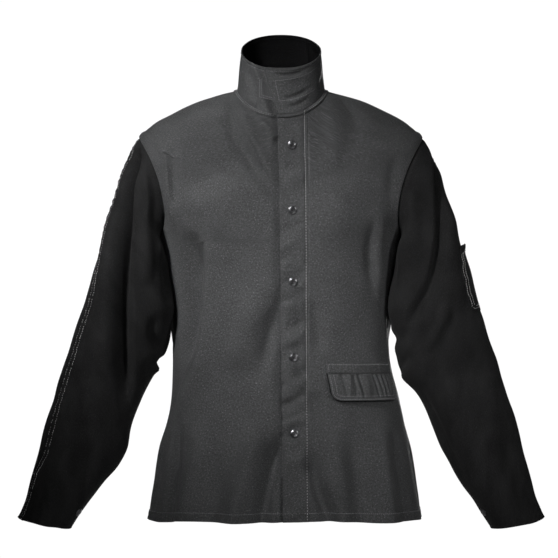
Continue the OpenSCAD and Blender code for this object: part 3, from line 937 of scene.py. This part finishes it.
def placket_surface(inset):
    """The placket from its free edge to its seam, with close columns at its stitches."""
    t = rows_column
    edge, row = placket_edge(t) + inset, placket_row(t)
    x = np.concatenate([
        mix(edge, row - 2, np.linspace(0, 1, 15)[:-1] ** 1.15),
        mix(row - 2, row + 1.2, np.linspace(0, 1, 8)[:-1]),
        mix(row + 1.2, HINGE_X - 0.3 * inset, np.linspace(0, 1, 5)),
    ], 1)
    base, normal, lift = body_surface(angle_at(x, t), t)
    groove = bell(x - row, 0.9)
    puffed = smooth((x - edge) / 4) * smooth((row - x) / 4)
    bead = 0.5 * bell(x - edge, 1.8)
    calm = calm_at_snaps(base, SNAP_SPOTS)
    pressed = 0.35 * (1 - calm)
    return base, normal, lift - 0.45 * groove + 0.5 * puffed * calm + bead - pressed


def fold_at_seam(made):
    """Bakes the transform of a placket piece into its mesh."""
    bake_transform(made)


surface = placket_surface(0)
cloth("placket_cloth", surface, 0, PLACKET_T, fold_at_seam, "body_cloth", "front_placket",
      seam=surface[0].shape[1] - 1)
cloth("placket_facing_cloth", placket_surface(0.6), FACING_AT, FACING_T, fold_at_seam,
      "facing_cloth", "placket_facing")


# ---- Collar --------------------------------------------------------------------------


def fold_at_collar(made):
    """Bakes the transform of a piece of the collar's left half into its mesh."""
    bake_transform(made)


COLLAR_T = 1.6
LINING_AT = COLLAR_T + 0.2
LINING_T = 1.2
HOOK_AT = LINING_AT + LINING_T + 0.1
TAPE_T = 1.2
LOOP_AT = 4.7
UNDER_AT = 6
UNDER_STEP_W = 14
UNDER_X = 22
HALF_WAY = 140
CORNER = 11
FREE_EDGE_LENGTH = 87
COLLAR_ROWS = np.concatenate([
    np.linspace(0, 0.08, 5), np.linspace(0.11, 0.87, 24), [0.885, 0.897, 0.907, 0.915],
    [0.924, 0.937, 0.955, 0.97, 0.985, 1.0],
])


def under_depth(base, h):
    """How far the collar's under end has stepped down below its left end."""
    shown = (base[..., 1] > -45) | (base[..., 0] > 40)
    free = mix(EDGE_AT_NECK, EDGE_AT_RIM, np.asarray(h, float))
    return np.where(shown, 0, UNDER_AT * smooth((base[..., 0] - free + UNDER_STEP_W + 3) / UNDER_STEP_W))


h = COLLAR_ROWS[:, None]
surface = collar_surface(mix(HALF_WAY, 360 + collar_x(UNDER_X, h), even_share(150)), h)
under = under_depth(surface[0], h)
cloth("collar_cloth", surface, under, COLLAR_T, "root", "body_cloth", "collar_outer", seam=0)
cloth("collar_lining_cloth", surface, under + LINING_AT - 0.15, LINING_T + 0.15, "root",
      "facing_cloth", "collar_lining", seam=0)


def free_edge(h):
    """The free end of the collar, with its rounded upper corner."""
    return mix(EDGE_AT_NECK, EDGE_AT_RIM, h) + rounded(CORNER, (1 - h) * FREE_EDGE_LENGTH)


def left_end(inset):
    """The left half of the collar, from its free edge round to the join behind the ear."""
    x = mix(free_edge(h) + inset, HINGE_X, np.linspace(0, 1, 33) ** 1.1)
    rest = mix(collar_x(HINGE_X, h), HALF_WAY, np.linspace(0, 1, 41)[1:])
    base, normal, lift = collar_surface(np.concatenate([collar_x(x, h), rest], 1), h)
    rolled = 1.1 * smooth((free_edge(h) + 4 - base[..., 0]) / 4) * (base[..., 1] < -60)
    return base, normal, lift + rolled


surface = left_end(0)
last = surface[0].shape[1] - 1
cloth("collar_left_cloth", surface, 0, COLLAR_T, fold_at_collar, "body_cloth",
      "collar_left_end", seam=last)
cloth("collar_left_lining_cloth", left_end(0.7), LINING_AT - 0.1, LINING_T + 0.1, fold_at_collar,
      "facing_cloth", "collar_left_end_lining", seam=last)

# Tape patches on the inside of the left end and on the outside of the under end
PATCH_LOW, PATCH_HIGH = 0.29, 0.7
patch_rows = np.linspace(PATCH_LOW, PATCH_HIGH, 16)[:, None]


def patch_surface(start, stop):
    """The collar between two x, where a patch of tape lies on it."""
    x = mix(start, stop, even_share(26))
    return collar_surface(collar_x(x, patch_rows), patch_rows)


surface = patch_surface(-6, 42)
cloth("hook_patch_tape", surface, HOOK_AT, TAPE_T, fold_at_collar, "hook_tape",
      "collar_hook_patch")
surface = patch_surface(-37, UNDER_X - 2)
depth = LOOP_AT - UNDER_AT + under_depth(surface[0], patch_rows)
cloth("loop_patch_tape", surface, depth, TAPE_T, "root", "loop_tape", "collar_loop_patch")

# A short tape that bows away from the lining at the centre back
loop_lo, loop_hi = corners("hang_loop")
TAPE_Y, TAPE_BOW = 20, 5
across = np.linspace(loop_lo[0], loop_hi[0], 41)[None, :]
up = np.linspace(loop_lo[2] - 1.2, loop_hi[2] + 1.2, 9)[:, None]
bow = TAPE_Y - TAPE_BOW * sin_cos(90 * across / loop_hi[0])[1] + 0.4 * np.sin(up * 0.7)
strap = np.stack(same_shape(across, bow, up), -1)
hanger = shell("hang_loop_tape", strap - [0, TAPE_T, 0], strap, TAPE)
fasten(hanger, "root", "hanger_tape", "hang_loop")


# ---- Hip pocket ----------------------------------------------------------------------

band_lo, band_hi = corners("pocket_band")
flap_lo, flap_hi = corners("pocket_flap")
FLAP_FROM, FLAP_TO = 20, 70
FLAP_W, FLAP_CORNER = 125, 14
POCKET_FALL = 3
FLAP_ROWS = (2.6, 8)
BAND_TOP, BAND_FOOT = band_hi[2], band_lo[2]
FLAP_TOP, FLAP_FOOT = flap_hi[2] + 1, flap_lo[2]


def band_surface(share, rise):
    z = mix(BAND_FOOT, BAND_TOP, rise) - POCKET_FALL * share
    base, normal, lift = body_surface(mix(FLAP_FROM, FLAP_TO, share), row_at(z))
    puffed = smooth(rise / 0.25) * smooth((1 - rise) / 0.25)
    puffed = puffed * smooth(share / 0.03) * smooth((1 - share) / 0.03)
    return base, normal, lift + (0.7 + 0.25 * np.sin(share * 60)) * puffed


surface = band_surface(even_share(80), np.linspace(0, 1, 13)[:, None])
cloth("pocket_band_cloth", surface, -2.0, 1.7, "root", "body_cloth", "pocket_band", held="laid")
# The flap's gathers: place across, slant, width and height
GATHERS = [
    (0.16, 0.02, 0.020, -2.0), (0.235, -0.06, 0.024, 2.2), (0.30, -0.03, 0.017, -2.3),
    (0.335, 0.03, 0.014, 1.5), (0.375, 0.02, 0.018, -2.4), (0.46, 0.0, 0.05, 2.2),
    (0.60, 0.03, 0.017, -2.2), (0.635, 0.05, 0.013, 0.9), (0.675, 0.04, 0.018, -1.5),
    (0.72, 0.0, 0.018, 1.2), (0.76, -0.02, 0.016, -1.4), (0.80, 0.0, 0.018, 1.4),
    (0.85, -0.02, 0.018, -1.5), (0.90, 0.0, 0.02, 1.0),
]


def flap_low(share):
    """The flap's lower edge rises in a quarter circle at both ends."""
    return FLAP_FOOT + rounded(FLAP_CORNER, np.minimum(share, 1 - share) * FLAP_W)


def flap_surface(share, z):
    across = mix(FLAP_FROM, FLAP_TO, share)
    base, normal, lift = body_surface(across, row_at(z - POCKET_FALL * share))
    from_top = np.clip((FLAP_TOP - z) / (FLAP_TOP - FLAP_FOOT), 0, 1)
    from_side = np.minimum(share, 1 - share) * FLAP_W
    from_edge = np.minimum(from_side, z - FLAP_FOOT)
    inner = smooth((from_edge - 4) / 8) * smooth(from_top / 0.06)
    pleats = sum(
        height * bell(share - place - slant * (from_top - 0.3), width)
        for place, slant, width, height in GATHERS
    )
    grooves = sum(bell(from_edge - row, 0.8) for row in FLAP_ROWS)
    stands_off = 3.2 * smooth(from_top / 0.5) + 2.4 * smooth((0.14 - share) / 0.14) * from_top
    return base, normal, lift + pleats * inner + stands_off - 0.35 * grooves * smooth(from_top / 0.1)


def flap_grid(inset, cols, rows):
    share = mix(inset / FLAP_W, 1 - inset / FLAP_W, even_share(cols))
    rise = np.linspace(0, 1, rows)[:, None]
    return flap_surface(share, mix(flap_low(share) + inset, FLAP_TOP, rise))


def fold_at_flap(made):
    """Bakes the transform of a flap piece into its mesh."""
    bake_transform(made)


cloth("pocket_flap_cloth", flap_grid(0, 110, 40), -3.3, 1.5, fold_at_flap, "body_cloth",
      "pocket_flap")
# The near-black lining is drawn 0.9 mm wider than the flap, so a dark rim shows round the flap's edge: a
# painted shadow where the flap stands off the cloth.
cloth("flap_lining_cloth", flap_grid(-0.9, 80, 30), -1.7, 0.9, fold_at_flap, "facing_cloth",
      "pocket_flap_lining")

BAG_FROM, BAG_TO, BAG_DEPTH = 23, 65, 150
BAG_WALL = 0.9
BAG_NEAR, BAG_FAR = 2.6, 25.2
bag_top = SLIT_FOOT - 2


def bag_surface(turn, down, wall):
    """The pouch: turn goes round it, down goes from its mouth to its closed foot."""
    near, far = BAG_NEAR + wall, BAG_FAR - wall
    sine, cosine = sin_cos(turn)
    closing = np.maximum(np.sqrt(np.clip(1 - down ** 6, 0, 1)), 0.15)
    rear = np.clip(-sine, 0, 1)
    z = bag_top - (BAG_DEPTH - 3 - wall) * down + 15 * rear * (1 - down)
    half = 0.5 * (0.99 - 0.02 * wall) * (0.9 + 0.1 * closing)
    angle = mix(BAG_FROM, BAG_TO, 0.5 - half * cosine)
    full = power(sine, 0.55)
    slack = 1 - 0.25 * rear * (1 + np.sin(angle * 0.3 + down * 5)) / 2
    depth = mix((near + far) / 2, near, np.maximum(full, 0) * closing)
    depth = mix(depth, far, np.maximum(-full, 0) * closing * slack)
    return at_depth(body_surface(angle, row_at(z)), depth)


turn, down = np.linspace(358, 2, 97), np.linspace(0, 1, 31)[:, None]
bag = [bag_surface(turn, down, wall) for wall in (0, BAG_WALL)]
fasten(shell("pocket_bag_cloth", *bag, BAG_CLOTH), "root", "facing_cloth", "pocket_bag")

# ---- Sleeves -------------------------------------------------------------------------

LEATHER_T = 1.9
# The lapped seam: its lap and its rows of stitches are in degrees round the sleeve
LAP = 5
LAP_W = 14
UNDER_LAP = 2.2
STITCHED = (3, 11)
SEAMS = {"left": -12, "right": 31}
# Where the lapped seam of the right sleeve wanders: k and degrees
SEAM_WANDER = np.array([
    (0, -26), (2, -18), (3.2, 0), (4.5, 4), (5.3, 7), (5.9, 5), (7, 5), (7.9, 7), (8.6, 7), (9.2, 11),
    (9.9, 11), (10.4, 0), (11.6, 1), (12.2, 6), (13, 6),
], float)


def lap_edge(side, k):
    """The angle of the seam's visible edge on the leather."""
    wander = np.interp(k, SEAM_WANDER[:, 0], SEAM_WANDER[:, 1])
    return SEAMS[side] + LAP + (wander if side == "right" else 0 * wander)


# Spots are (phi, k) on the left sleeve, and mirrored on the right one
SLEEVE_FOLDS_AT = {
    "right": [
        (((22, 0.1), (37, 0.9), (47, 1.7), (65, 2.6), (77, 3.7), (96, 6.2), (118, 7.8), (152, 9.2)),
         13, -22, (0.06, 0.2), 0.5),
        (((40, 0.2), (75, 0.8), (100, 2.0), (108, 3.7), (112, 4.6)), 9, 7, (0.15, 0.3)),
        (((12, 1.6), (38, 3.2), (56, 5.0), (80, 7.2), (110, 9.0)), 30, 7, (0.3, 0.3)),
        (((128, 2.0), (140, 3.6), (140, 5.2)), 14, -5),
        (((120, 5.4), (134, 6.4), (160, 7.0)), 9, -6, (0.3, 0.1)),
        (((140, 7.2), (165, 7.6), (190, 7.9)), 7, 5),
        (((60, 9.0), (74, 10.6), (84, 12.9)), 20, 4, TO_HEM),
        (((128, 7.5), (180, 7.5), (236, 7.4)), 9, -8, (0.3, 0.3)),
        (((140, 9.4), (182, 10.4), (210, 11.4)), 30, 8, (0.4, 0.4)),
        (((110, 9.6), (112, 11.0), (120, 12.9)), 14, -4, TO_HEM),
    ],
    "left": [
        (((-8, 0.5), (27, 1.6), (45, 2.3), (75, 3.7), (105, 5.1), (135, 6.2), (165, 6.9)),
         9, -11, (0.1, 0.5), 0.35),
        (((66, 0.3), (107, 1.8), (122, 3.3), (130, 4.9)), 12, 7, (0.15, 0.3)),
        (((10, 2.2), (38, 3.4), (58, 4.6), (76, 5.6)), 26, 6, (0.3, 0.3)),
        (((70, 5.4), (90, 6.1), (122, 7.2)), 10, 6, (0.3, 0.3)),
        (((96, 7.4), (112, 9.0), (118, 11.0)), 18, 4, (0.3, 0.4)),
        (((150, 7.6), (156, 9.1), (148, 10.4), (155, 11.6)), 12, -4),
        (((40, 8.6), (52, 10.4), (60, 12.9)), 18, -4, TO_HEM),
        (((132, 7.0), (168, 7.6), (200, 7.9)), 8, -5),
        (((122, 6.2), (180, 6.45), (236, 6.4)), 13, -7, (0.4, 0.4)),
        (((120, 7.7), (182, 7.9), (236, 8.0)), 24, 9, (0.4, 0.4)),
    ],
}
# Behind: the elbow's folds and the loose cloth above them
BEHIND = [
    (((200, 6.2), (250, 5.6), (305, 5.9)), 12, -7),
    (((196, 6.9), (250, 6.7), (310, 7.2)), 10, 6),
    (((190, 7.6), (246, 7.7), (292, 8.4)), 10, -6),
    (((214, 4.6), (262, 4.1), (312, 4.6)), 14, 5),
    (((246, 0.4), (258, 1.8), (268, 3.4)), 14, -6, (0.2, 0.4)),
    (((286, 0.5), (292, 2.2), (288, 3.8)), 16, 6, (0.2, 0.4)),
    (((232, 8.8), (240, 10.6), (236, 12.9)), 18, 5, TO_HEM),
    (((280, 9.0), (290, 11.0), (286, 12.9)), 18, -5, TO_HEM),
]
SLEEVE_FOLDS = {
    side: folds_on(sleeve_base, rows + BEHIND) for side, rows in SLEEVE_FOLDS_AT.items()
}
cuff_spot = sleeve_base(152, 12.55)
UNDERLAP_K, UNDERLAP_PHI = (11.6, 12.9), (138, 176)
# From this k on the cuff's leather is turned up, and the body cloth covers this much of the top
CUFF_EDGE = 12.84
TUCKED = 2.3


def cuff_edge(k):
    return smooth((k - CUFF_EDGE) / 0.06)


def mirror_of(side):
    return 1 if side == "left" else -1


def tuck(phi, k):
    """The front of the sleeve swells over the side of the body."""
    across = smooth((phi - 92) / 40) * smooth((178 - phi) / 26)
    return across * smooth((k - 0.5) / 1.6) * smooth((6.6 - k) / 1.6)


def sleeve_normal(phi, k):
    return with_normals(sleeve_base, phi, k, 1.0, 0.05, (0, CUFF))


def sleeve_outside(phi, k, side, drop=0.0):
    """The outside of a sleeve, on the wearer's left. Below k = 0 it runs on under the body
    cloth, at the armhole."""
    phi, k = same_shape(phi, k)
    low = np.maximum(k, 0)
    base, normal = sleeve_normal(phi, low)
    angle, row = armhole_place(phi)
    _, body_normal, body_lift = body_surface(mirror_of(side) * angle, row)
    body_normal = body_normal * [mirror_of(side), 1, 1]
    lift = SLEEVE_GAIN * raised(base, normal, SLEEVE_FOLDS[side])
    lift += ripples(base, 21 if side == "left" else 22, 90, 0.9) + ripples(base, 23, 34, 0.3)
    turned = (phi - lap_edge(side, low) + 180) % 360 - 180
    puckers = np.sin(low * 25 + np.sin(low * 7)) + 0.6 * np.sin(low * 41 + 1)
    lift += 0.7 * puckers * bell(turned + 7, 9)
    lift += 0.5 * np.sin(low * 19 + 2) * bell(turned + 20, 7)
    lift += 1.4 * bell(turned + 7, 6) - 0.5 * bell(turned - 3, 4)
    for stitched in STITCHED:
        lift -= 0.5 * bell(turned + stitched, 1.2)
    lift *= smooth(low / 0.9) * calm_at_snaps(base, [cuff_spot])
    lift += 0.5 * cuff_edge(low)
    outside = base + normal * (lift - drop)[..., None]
    outside = outside + tuck(phi, low)[..., None] * [-15.0, -5.0, 0.0]
    joined = smooth(1 - low / 0.9)
    emerging = TUCKED * (1 - smooth(low / 0.3))
    outside = outside + body_normal * (body_lift * joined - emerging)[..., None]
    hidden = body_point(*armhole_place(phi, 1 + 0.25 * np.maximum(-k, 0)))
    hidden = hidden + body_normal * (body_lift - TUCKED - drop)[..., None]
    return np.where((k < 0)[..., None], hidden, outside)


def thicken(grid, thickness):
    """The inner side of a sheet whose outside is a grid."""
    across, along = np.gradient(grid, axis=1), np.gradient(grid, axis=0)
    return grid - unit(np.cross(across, along)) * np.asarray(thickness)[..., None]


SLEEVE_ROWS = np.concatenate([
    [-0.32, -0.2, -0.1], np.arange(0, 1, 0.07), np.arange(1, 12.5, 0.1), np.linspace(12.5, CUFF, 12),
])


def leather(name, grid, thickness, side, hold, node):
    made = shell(name, grid, thicken(grid, thickness), LEATHER, mirrored=side == "right")
    fasten(made, hold, "split_leather", node)


def panel_of(side, start, stop, cols, under):
    phi = mix(start, stop, even_share(cols))
    shown = phi - lap_edge(side, sleeve_column) - 360 + LAP_W
    drop = UNDER_LAP * smooth((shown + LAP) / 4.5) if under else 0.0
    return sleeve_outside(phi, sleeve_column, side, drop)


def fold_at_armhole():
    """Gives a function that bakes a sleeve piece's transform into its mesh."""
    return lambda made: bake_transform(made)


sleeve_column = SLEEVE_ROWS[:, None]
k, phi = np.linspace(*UNDERLAP_K, 14)[:, None], np.linspace(*UNDERLAP_PHI, 20)
for side in ("left", "right"):
    edge = lap_edge(side, sleeve_column)
    thickness = LEATHER_T + 0.8 * cuff_edge(sleeve_column)
    for half, grid in (
        ("front", panel_of(side, edge - LAP_W, 180, 84, False)),
        ("back", panel_of(side, 180, 358 + edge, 90, True)),
    ):
        name = f"{side}_sleeve_{half}"
        leather(name + "_leather", grid, thickness, side, fold_at_armhole(), name)
    name = side + "_cuff_underlap"
    grid = sleeve_outside(phi, k, side, LEATHER_T + 1.2)
    leather(name + "_leather", grid, 1.4, side, side + "_sleeve", name)


# ---- Pen pocket ----------------------------------------------------------------------

PEN_FROM, PEN_TO, PEN_HALF, PEN_CORNER = 4.0, 5.87, 34, 13
PEN_LENGTH = 118
# How long a degree is round this part of the sleeve
SLEEVE_DEGREE = 1.25


def pen_surface(share, down):
    """The pen pocket: share runs from its rear edge to its front one, down from its mouth."""
    from_side = (1 - np.abs(2 * share - 1)) * PEN_HALF * SLEEVE_DEGREE
    cut = rounded(PEN_CORNER, from_side)
    foot = PEN_TO - cut / PEN_LENGTH * (PEN_TO - PEN_FROM) + 0.05 * (share - 0.5)
    k = mix(PEN_FROM, foot, down)
    phi = mix(-PEN_HALF, PEN_HALF + 3 + 7 * np.sin(np.pi * np.minimum(down, 0.9)), share)
    place = sleeve_outside(phi, k, "left")
    normal = sleeve_normal(phi, k)[1]
    belly = (1 - (2 * share - 1) ** 4) * (1 - down ** 3)
    mouth = smooth((0.16 - down) / 0.16)
    stand = 1.0 + 3.2 * belly + 3.6 * belly * mouth
    stand += 0.5 * np.sin(down * 31) * bell(1 - share, 0.12)
    stand += 0.6 * smooth((0.08 - down) / 0.02)
    return place + normal * stand[..., None], normal


grid = pen_surface(even_share(44), np.linspace(0, 1, 61)[:, None])[0]
leather("pen_pocket_leather", grid, 1.7, "left", "left_sleeve", "sleeve_pen_pocket")


# ---- Stitching -----------------------------------------------------------------------


def sew(name, rows, finish, hold="root", slot="body_cloth", **size):
    fasten(thread(name, rows, finish, **size), hold, slot)


def body_row(start, stop, t, count=260, step_row=None):
    """A row round the body. At the button stand it steps down like the cloth at a row."""
    surface = body_surface(np.linspace(start, stop, count), t)
    depth = 0 if step_row is None else STAND_AT * stand_share(surface[0], step_row)
    return row_below(surface, depth)


def after_hinge(t):
    return float(angle_at(HINGE_X + 1, t))


side_edge = float(edge_angle(HEM_ROW))
hem_stitches = [
    body_row(1 - side_edge, float(angle_at(2, HEM_ROW)), HEM_ROW, step_row=HEM_ROW),
    body_row(after_hinge(HEM_ROW), side_edge - 1, HEM_ROW),
    body_row(181 - side_edge, 179 + side_edge, HEM_ROW),
]
sew("hem_stitches", hem_stitches, THREAD, radius=0.36)

# Two rows just below the collar seam, by how much cloth the neck's last row has
NEAR_NECK = NECK - 0.1
LAST_ROW_LENGTH = 62
neck_stitches = []
for drop in (1.2, 6.2):
    t = NECK - drop / LAST_ROW_LENGTH
    neck_stitches += [
        body_row(-176, float(angle_at(-12, NEAR_NECK)), t, 160, step_row=NECK),
        body_row(after_hinge(NEAR_NECK), 184, t, 160),
    ]
sew("neck_band_stitches", neck_stitches, THREAD, pitch=4.2, fill=0.66)


def placket_line(x, t):
    return row_below(body_surface(angle_at(x, t), t), 0.15)


long_rows = np.linspace(0.03, NECK - 0.04, 500)
across = np.linspace(placket_edge(HEM_ROW) + 1.5, placket_row(HEM_ROW) - 1.5, 40)
front_rows = [placket_line(placket_row(long_rows), long_rows), placket_line(across, HEM_ROW)]
sew("placket_stitches", front_rows, SEAM_THREAD, fold_at_seam, pitch=4.8, radius=0.44, fill=0.55)


def path(*runs):
    """Numbers that run evenly from place to place: start, stop and count of each run."""
    return np.concatenate([np.linspace(*run) for run in runs])


def collar_row(x, h, depth):
    return row_below(collar_surface(collar_x(x, h), h), depth)


# The left half: along its rim, round the hook patch, and low on its free edge
rim_angle = np.concatenate([
    np.linspace(HALF_WAY - 1, float(collar_x(HINGE_X, TOPSTITCH)), 120),
    collar_x(np.linspace(HINGE_X, EDGE_AT_RIM + 9, 60), TOPSTITCH),
])
patch_x = path((62, -10, 60), (-10, -3, 30), (-3, 58, 50))
patch_h = path((0.79, 0.725, 60), (0.725, 0.29, 30), (0.29, 0.33, 50))
edge_h = np.linspace(0.7, 0.03, 40)
left_rows = [
    row_below(collar_surface(rim_angle, TOPSTITCH), 0.1),
    collar_row(patch_x, patch_h, 0.15),
    collar_row(mix(EDGE_AT_NECK, EDGE_AT_RIM, edge_h) + 3, edge_h, 0.2),
]
sew("collar_left_stitches", left_rows, THREAD, fold_at_collar, radius=0.3)

# The right half: its topstitch and the outline of the loop patch
turn = np.linspace(HALF_WAY + 1, 360 + float(collar_x(UNDER_X - 2, 0.9)), 460)
surface = collar_surface(turn, TOPSTITCH)
collar_rows = [row_below(surface, under_depth(surface[0], TOPSTITCH) + 0.1)]
loop_x = path((-36.5, -36.5, 30), (-36.5, 10, 40))
loop_h = path((0.69, 0.31, 30), (0.31, 0.31, 40))
for row_x, row_h in ((loop_x, loop_h), (loop_x + 3.2, loop_h + 0.05)):
    surface = collar_surface(collar_x(row_x, row_h), row_h)
    depth = under_depth(surface[0], row_h) - UNDER_AT + LOOP_AT - 0.1
    collar_rows.append(row_below(surface, depth))
sew("collar_right_stitches", collar_rows, THREAD, radius=0.32)

# The pocket: a bright row along the band's top and down its end, two rows round the flap
across_band = path((0.985, 0.02, 120), (0.02, 0.02, 12))
up_band = path((0.8, 0.8, 120), (0.8, 0.12, 12))
band_rows = [row_below(band_surface(across_band, up_band), -2.1)]
sew("pocket_band_stitches", band_rows, THREAD, radius=0.36)


def flap_round(inset):
    """A line that runs down one side of the flap, along its foot and up the other."""
    radius = max(FLAP_CORNER - inset, 4)
    side = inset / FLAP_W
    near = side + radius / FLAP_W
    low = FLAP_FOOT + inset
    sine, cosine = sin_cos(np.linspace(0, 90, 16))
    down_side = np.linspace(FLAP_TOP - 2, low + radius, 24)
    share = np.concatenate([
        np.full(24, side), near - (near - side) * cosine, np.linspace(near, 1 - near, 90),
        1 - near + (near - side) * sine, np.full(24, 1 - side),
    ])
    z = np.concatenate([
        down_side, low + radius * (1 - sine), np.full(90, low),
        low + radius * (1 - cosine), down_side[::-1],
    ])
    return row_below(flap_surface(share, z), -3.2)


flap_rows = [flap_round(row) for row in FLAP_ROWS]
sew("pocket_flap_stitches", flap_rows, THREAD, fold_at_flap, radius=0.42)


def sleeve_row(side, phi, k):
    """A line of stitches on a sleeve's leather."""
    phi, k = same_shape(phi, k)
    line = sleeve_outside(phi, k, side, 0.1)
    outward = sleeve_normal(phi, k)[1]
    mirror = [mirror_of(side), 1, 1]
    return line * mirror, outward * mirror


CUFF_ROW = 12.93
LEATHER_SEAM = {"finish": PALE_THREAD, "slot": "split_leather", "radius": 0.42, "fill": 0.7}
for side in ("left", "right"):
    k = np.linspace(0.12, CUFF - 0.05, 900)
    rows = [sleeve_row(side, lap_edge(side, k) - row, k) for row in STITCHED]
    across = lap_edge(side, CUFF_ROW) - np.linspace(*STITCHED[::-1], 8)
    rows.append(sleeve_row(side, across, CUFF_ROW))
    sew(side + "_sleeve_stitches", rows, hold=fold_at_armhole(), pitch=4.2, **LEATHER_SEAM)

# The pen pocket's rows, doubled at its front edge
pen_lines = []
for inset in (0.05, 0.125):
    k = np.linspace(0.1, 0.97 - inset * 0.6, 70)
    pen_lines.append((1 - inset + 0.012 * np.sin(k * 21) + 0.007 * np.sin(k * 47), k))
    share = np.linspace(1 - inset * 1.6, 0.06 + inset, 40)
    pen_lines.append((share, 0.965 - inset * 0.45 + 0.004 * np.sin(share * 60)))
k = np.linspace(0.1, 0.94, 60)
pen_lines += [(0.05 + 0.006 * np.sin(k * 26), k), (np.linspace(0.06, 0.94, 50), 0.1)]
pen_rows = [
    (place + outward * 0.3, outward) for place, outward in (pen_surface(*at) for at in pen_lines)
]
sew("pen_pocket_stitches", pen_rows, hold="left_sleeve", pitch=4.0, **LEATHER_SEAM)


# ---- Metal that stays from the CAD model ---------------------------------------------

METAL = {
    CAP_METAL: ("snap_caps", "left_cuff_snap_cap", "right_cuff_snap_cap"),
    SNAP_METAL: (
        "snap_sockets", "snap_studs", "snap_stud_backs", "left_cuff_snap_stud",
        "right_cuff_snap_stud",
    ),
}
for finish, nodes in METAL.items():
    for node in nodes:
        for place in bpy.data.objects[node].material_slots:
            place.link = "OBJECT"
            place.material = finish


# ---- Stage, light and backdrop -------------------------------------------------------

ground = Finish("pale_floor", 0.8, flat=False, Specular_IOR_Level=0.2)
ground.tint(ground.noise(0.5, 2.0), (0.8428, 0.8428, 0.8428), (0.86, 0.86, 0.86))
FLOOR_BELOW = 0.72
FLOOR_AT = box_lo[2] - FLOOR_BELOW
FLOOR_RADIUS, BACKDROP_RADIUS = 4.0, 12
BACKDROP_GLOW, SKY_GLOW = 1.02, 0.05
sine, cosine = sin_cos(np.arange(0, 360, 3))
disc = np.stack([cosine * FLOOR_RADIUS, sine * FLOOR_RADIUS, 0 * sine + FLOOR_AT], -1) / MM
mesh_object("floor", disc, [list(range(len(disc)))], ground.material)
bpy.ops.mesh.primitive_uv_sphere_add(segments=48, ring_count=24, radius=BACKDROP_RADIUS)
backdrop = bpy.context.object
backdrop.name = "backdrop"
white = bpy.data.materials.new("white_backdrop")
white.use_nodes = True
white.node_tree.nodes.clear()
glow = white.node_tree.nodes.new("ShaderNodeEmission")
glow.inputs["Strength"].default_value = BACKDROP_GLOW
output = white.node_tree.nodes.new("ShaderNodeOutputMaterial")
white.node_tree.links.new(glow.outputs["Emission"], output.inputs["Surface"])
backdrop.data.materials.append(white)
backdrop.visible_diffuse = False
backdrop.visible_glossy = False
backdrop.visible_shadow = False

TARGET = (0, -0.05, -0.3)
CHEST = (-0.12, -0.1, -0.17)
HIP = (0.2, -0.1, -0.42)
LIGHTS = [
    # Name, place, what it's aimed at, size in metres, watts, and a spot's cone in degrees
    ("key", (-1.9, -2.1, 1.6), CHEST, 0.35, 1560, 11.6),
    ("side", (2.2, -2.3, 0.7), HIP, 0.3, 190, 20),
    ("front", (-2.4, -2.6, 0.3), TARGET, 1.2, 4, None),
    ("behind", (0.6, 3.8, -0.1), TARGET, 1.8, 50, None),
    ("low", (0.6, -2.2, -1.3), TARGET, 0.6, 5.5, None),
]
for name, place, target, size, watts, cone in LIGHTS:
    lamp = bpy.data.lights.new(name, "SPOT" if cone else "AREA")
    lamp.energy = watts
    if cone:
        lamp.spot_size = math.radians(cone)
        lamp.spot_blend = 1.0
        lamp.shadow_soft_size = size
    else:
        lamp.shape = "DISK"
        lamp.size = size
    holder = bpy.data.objects.new(name, lamp)
    bpy.context.scene.collection.objects.link(holder)
    way = np.array(target) - np.array(place)
    tilt = math.atan2(math.hypot(way[0], way[1]), -way[2])
    holder.location = place
    holder.rotation_euler = (tilt, 0, math.atan2(way[1], way[0]) - math.pi / 2)

world = bpy.data.worlds.new("studio")
world.use_nodes = True
sky = world.node_tree.nodes["Background"]
sky.inputs["Color"].default_value = (1, 1, 1, 1)
sky.inputs["Strength"].default_value = SKY_GLOW
bpy.context.scene.world = world
bpy.context.scene.view_settings.view_transform = "Standard"
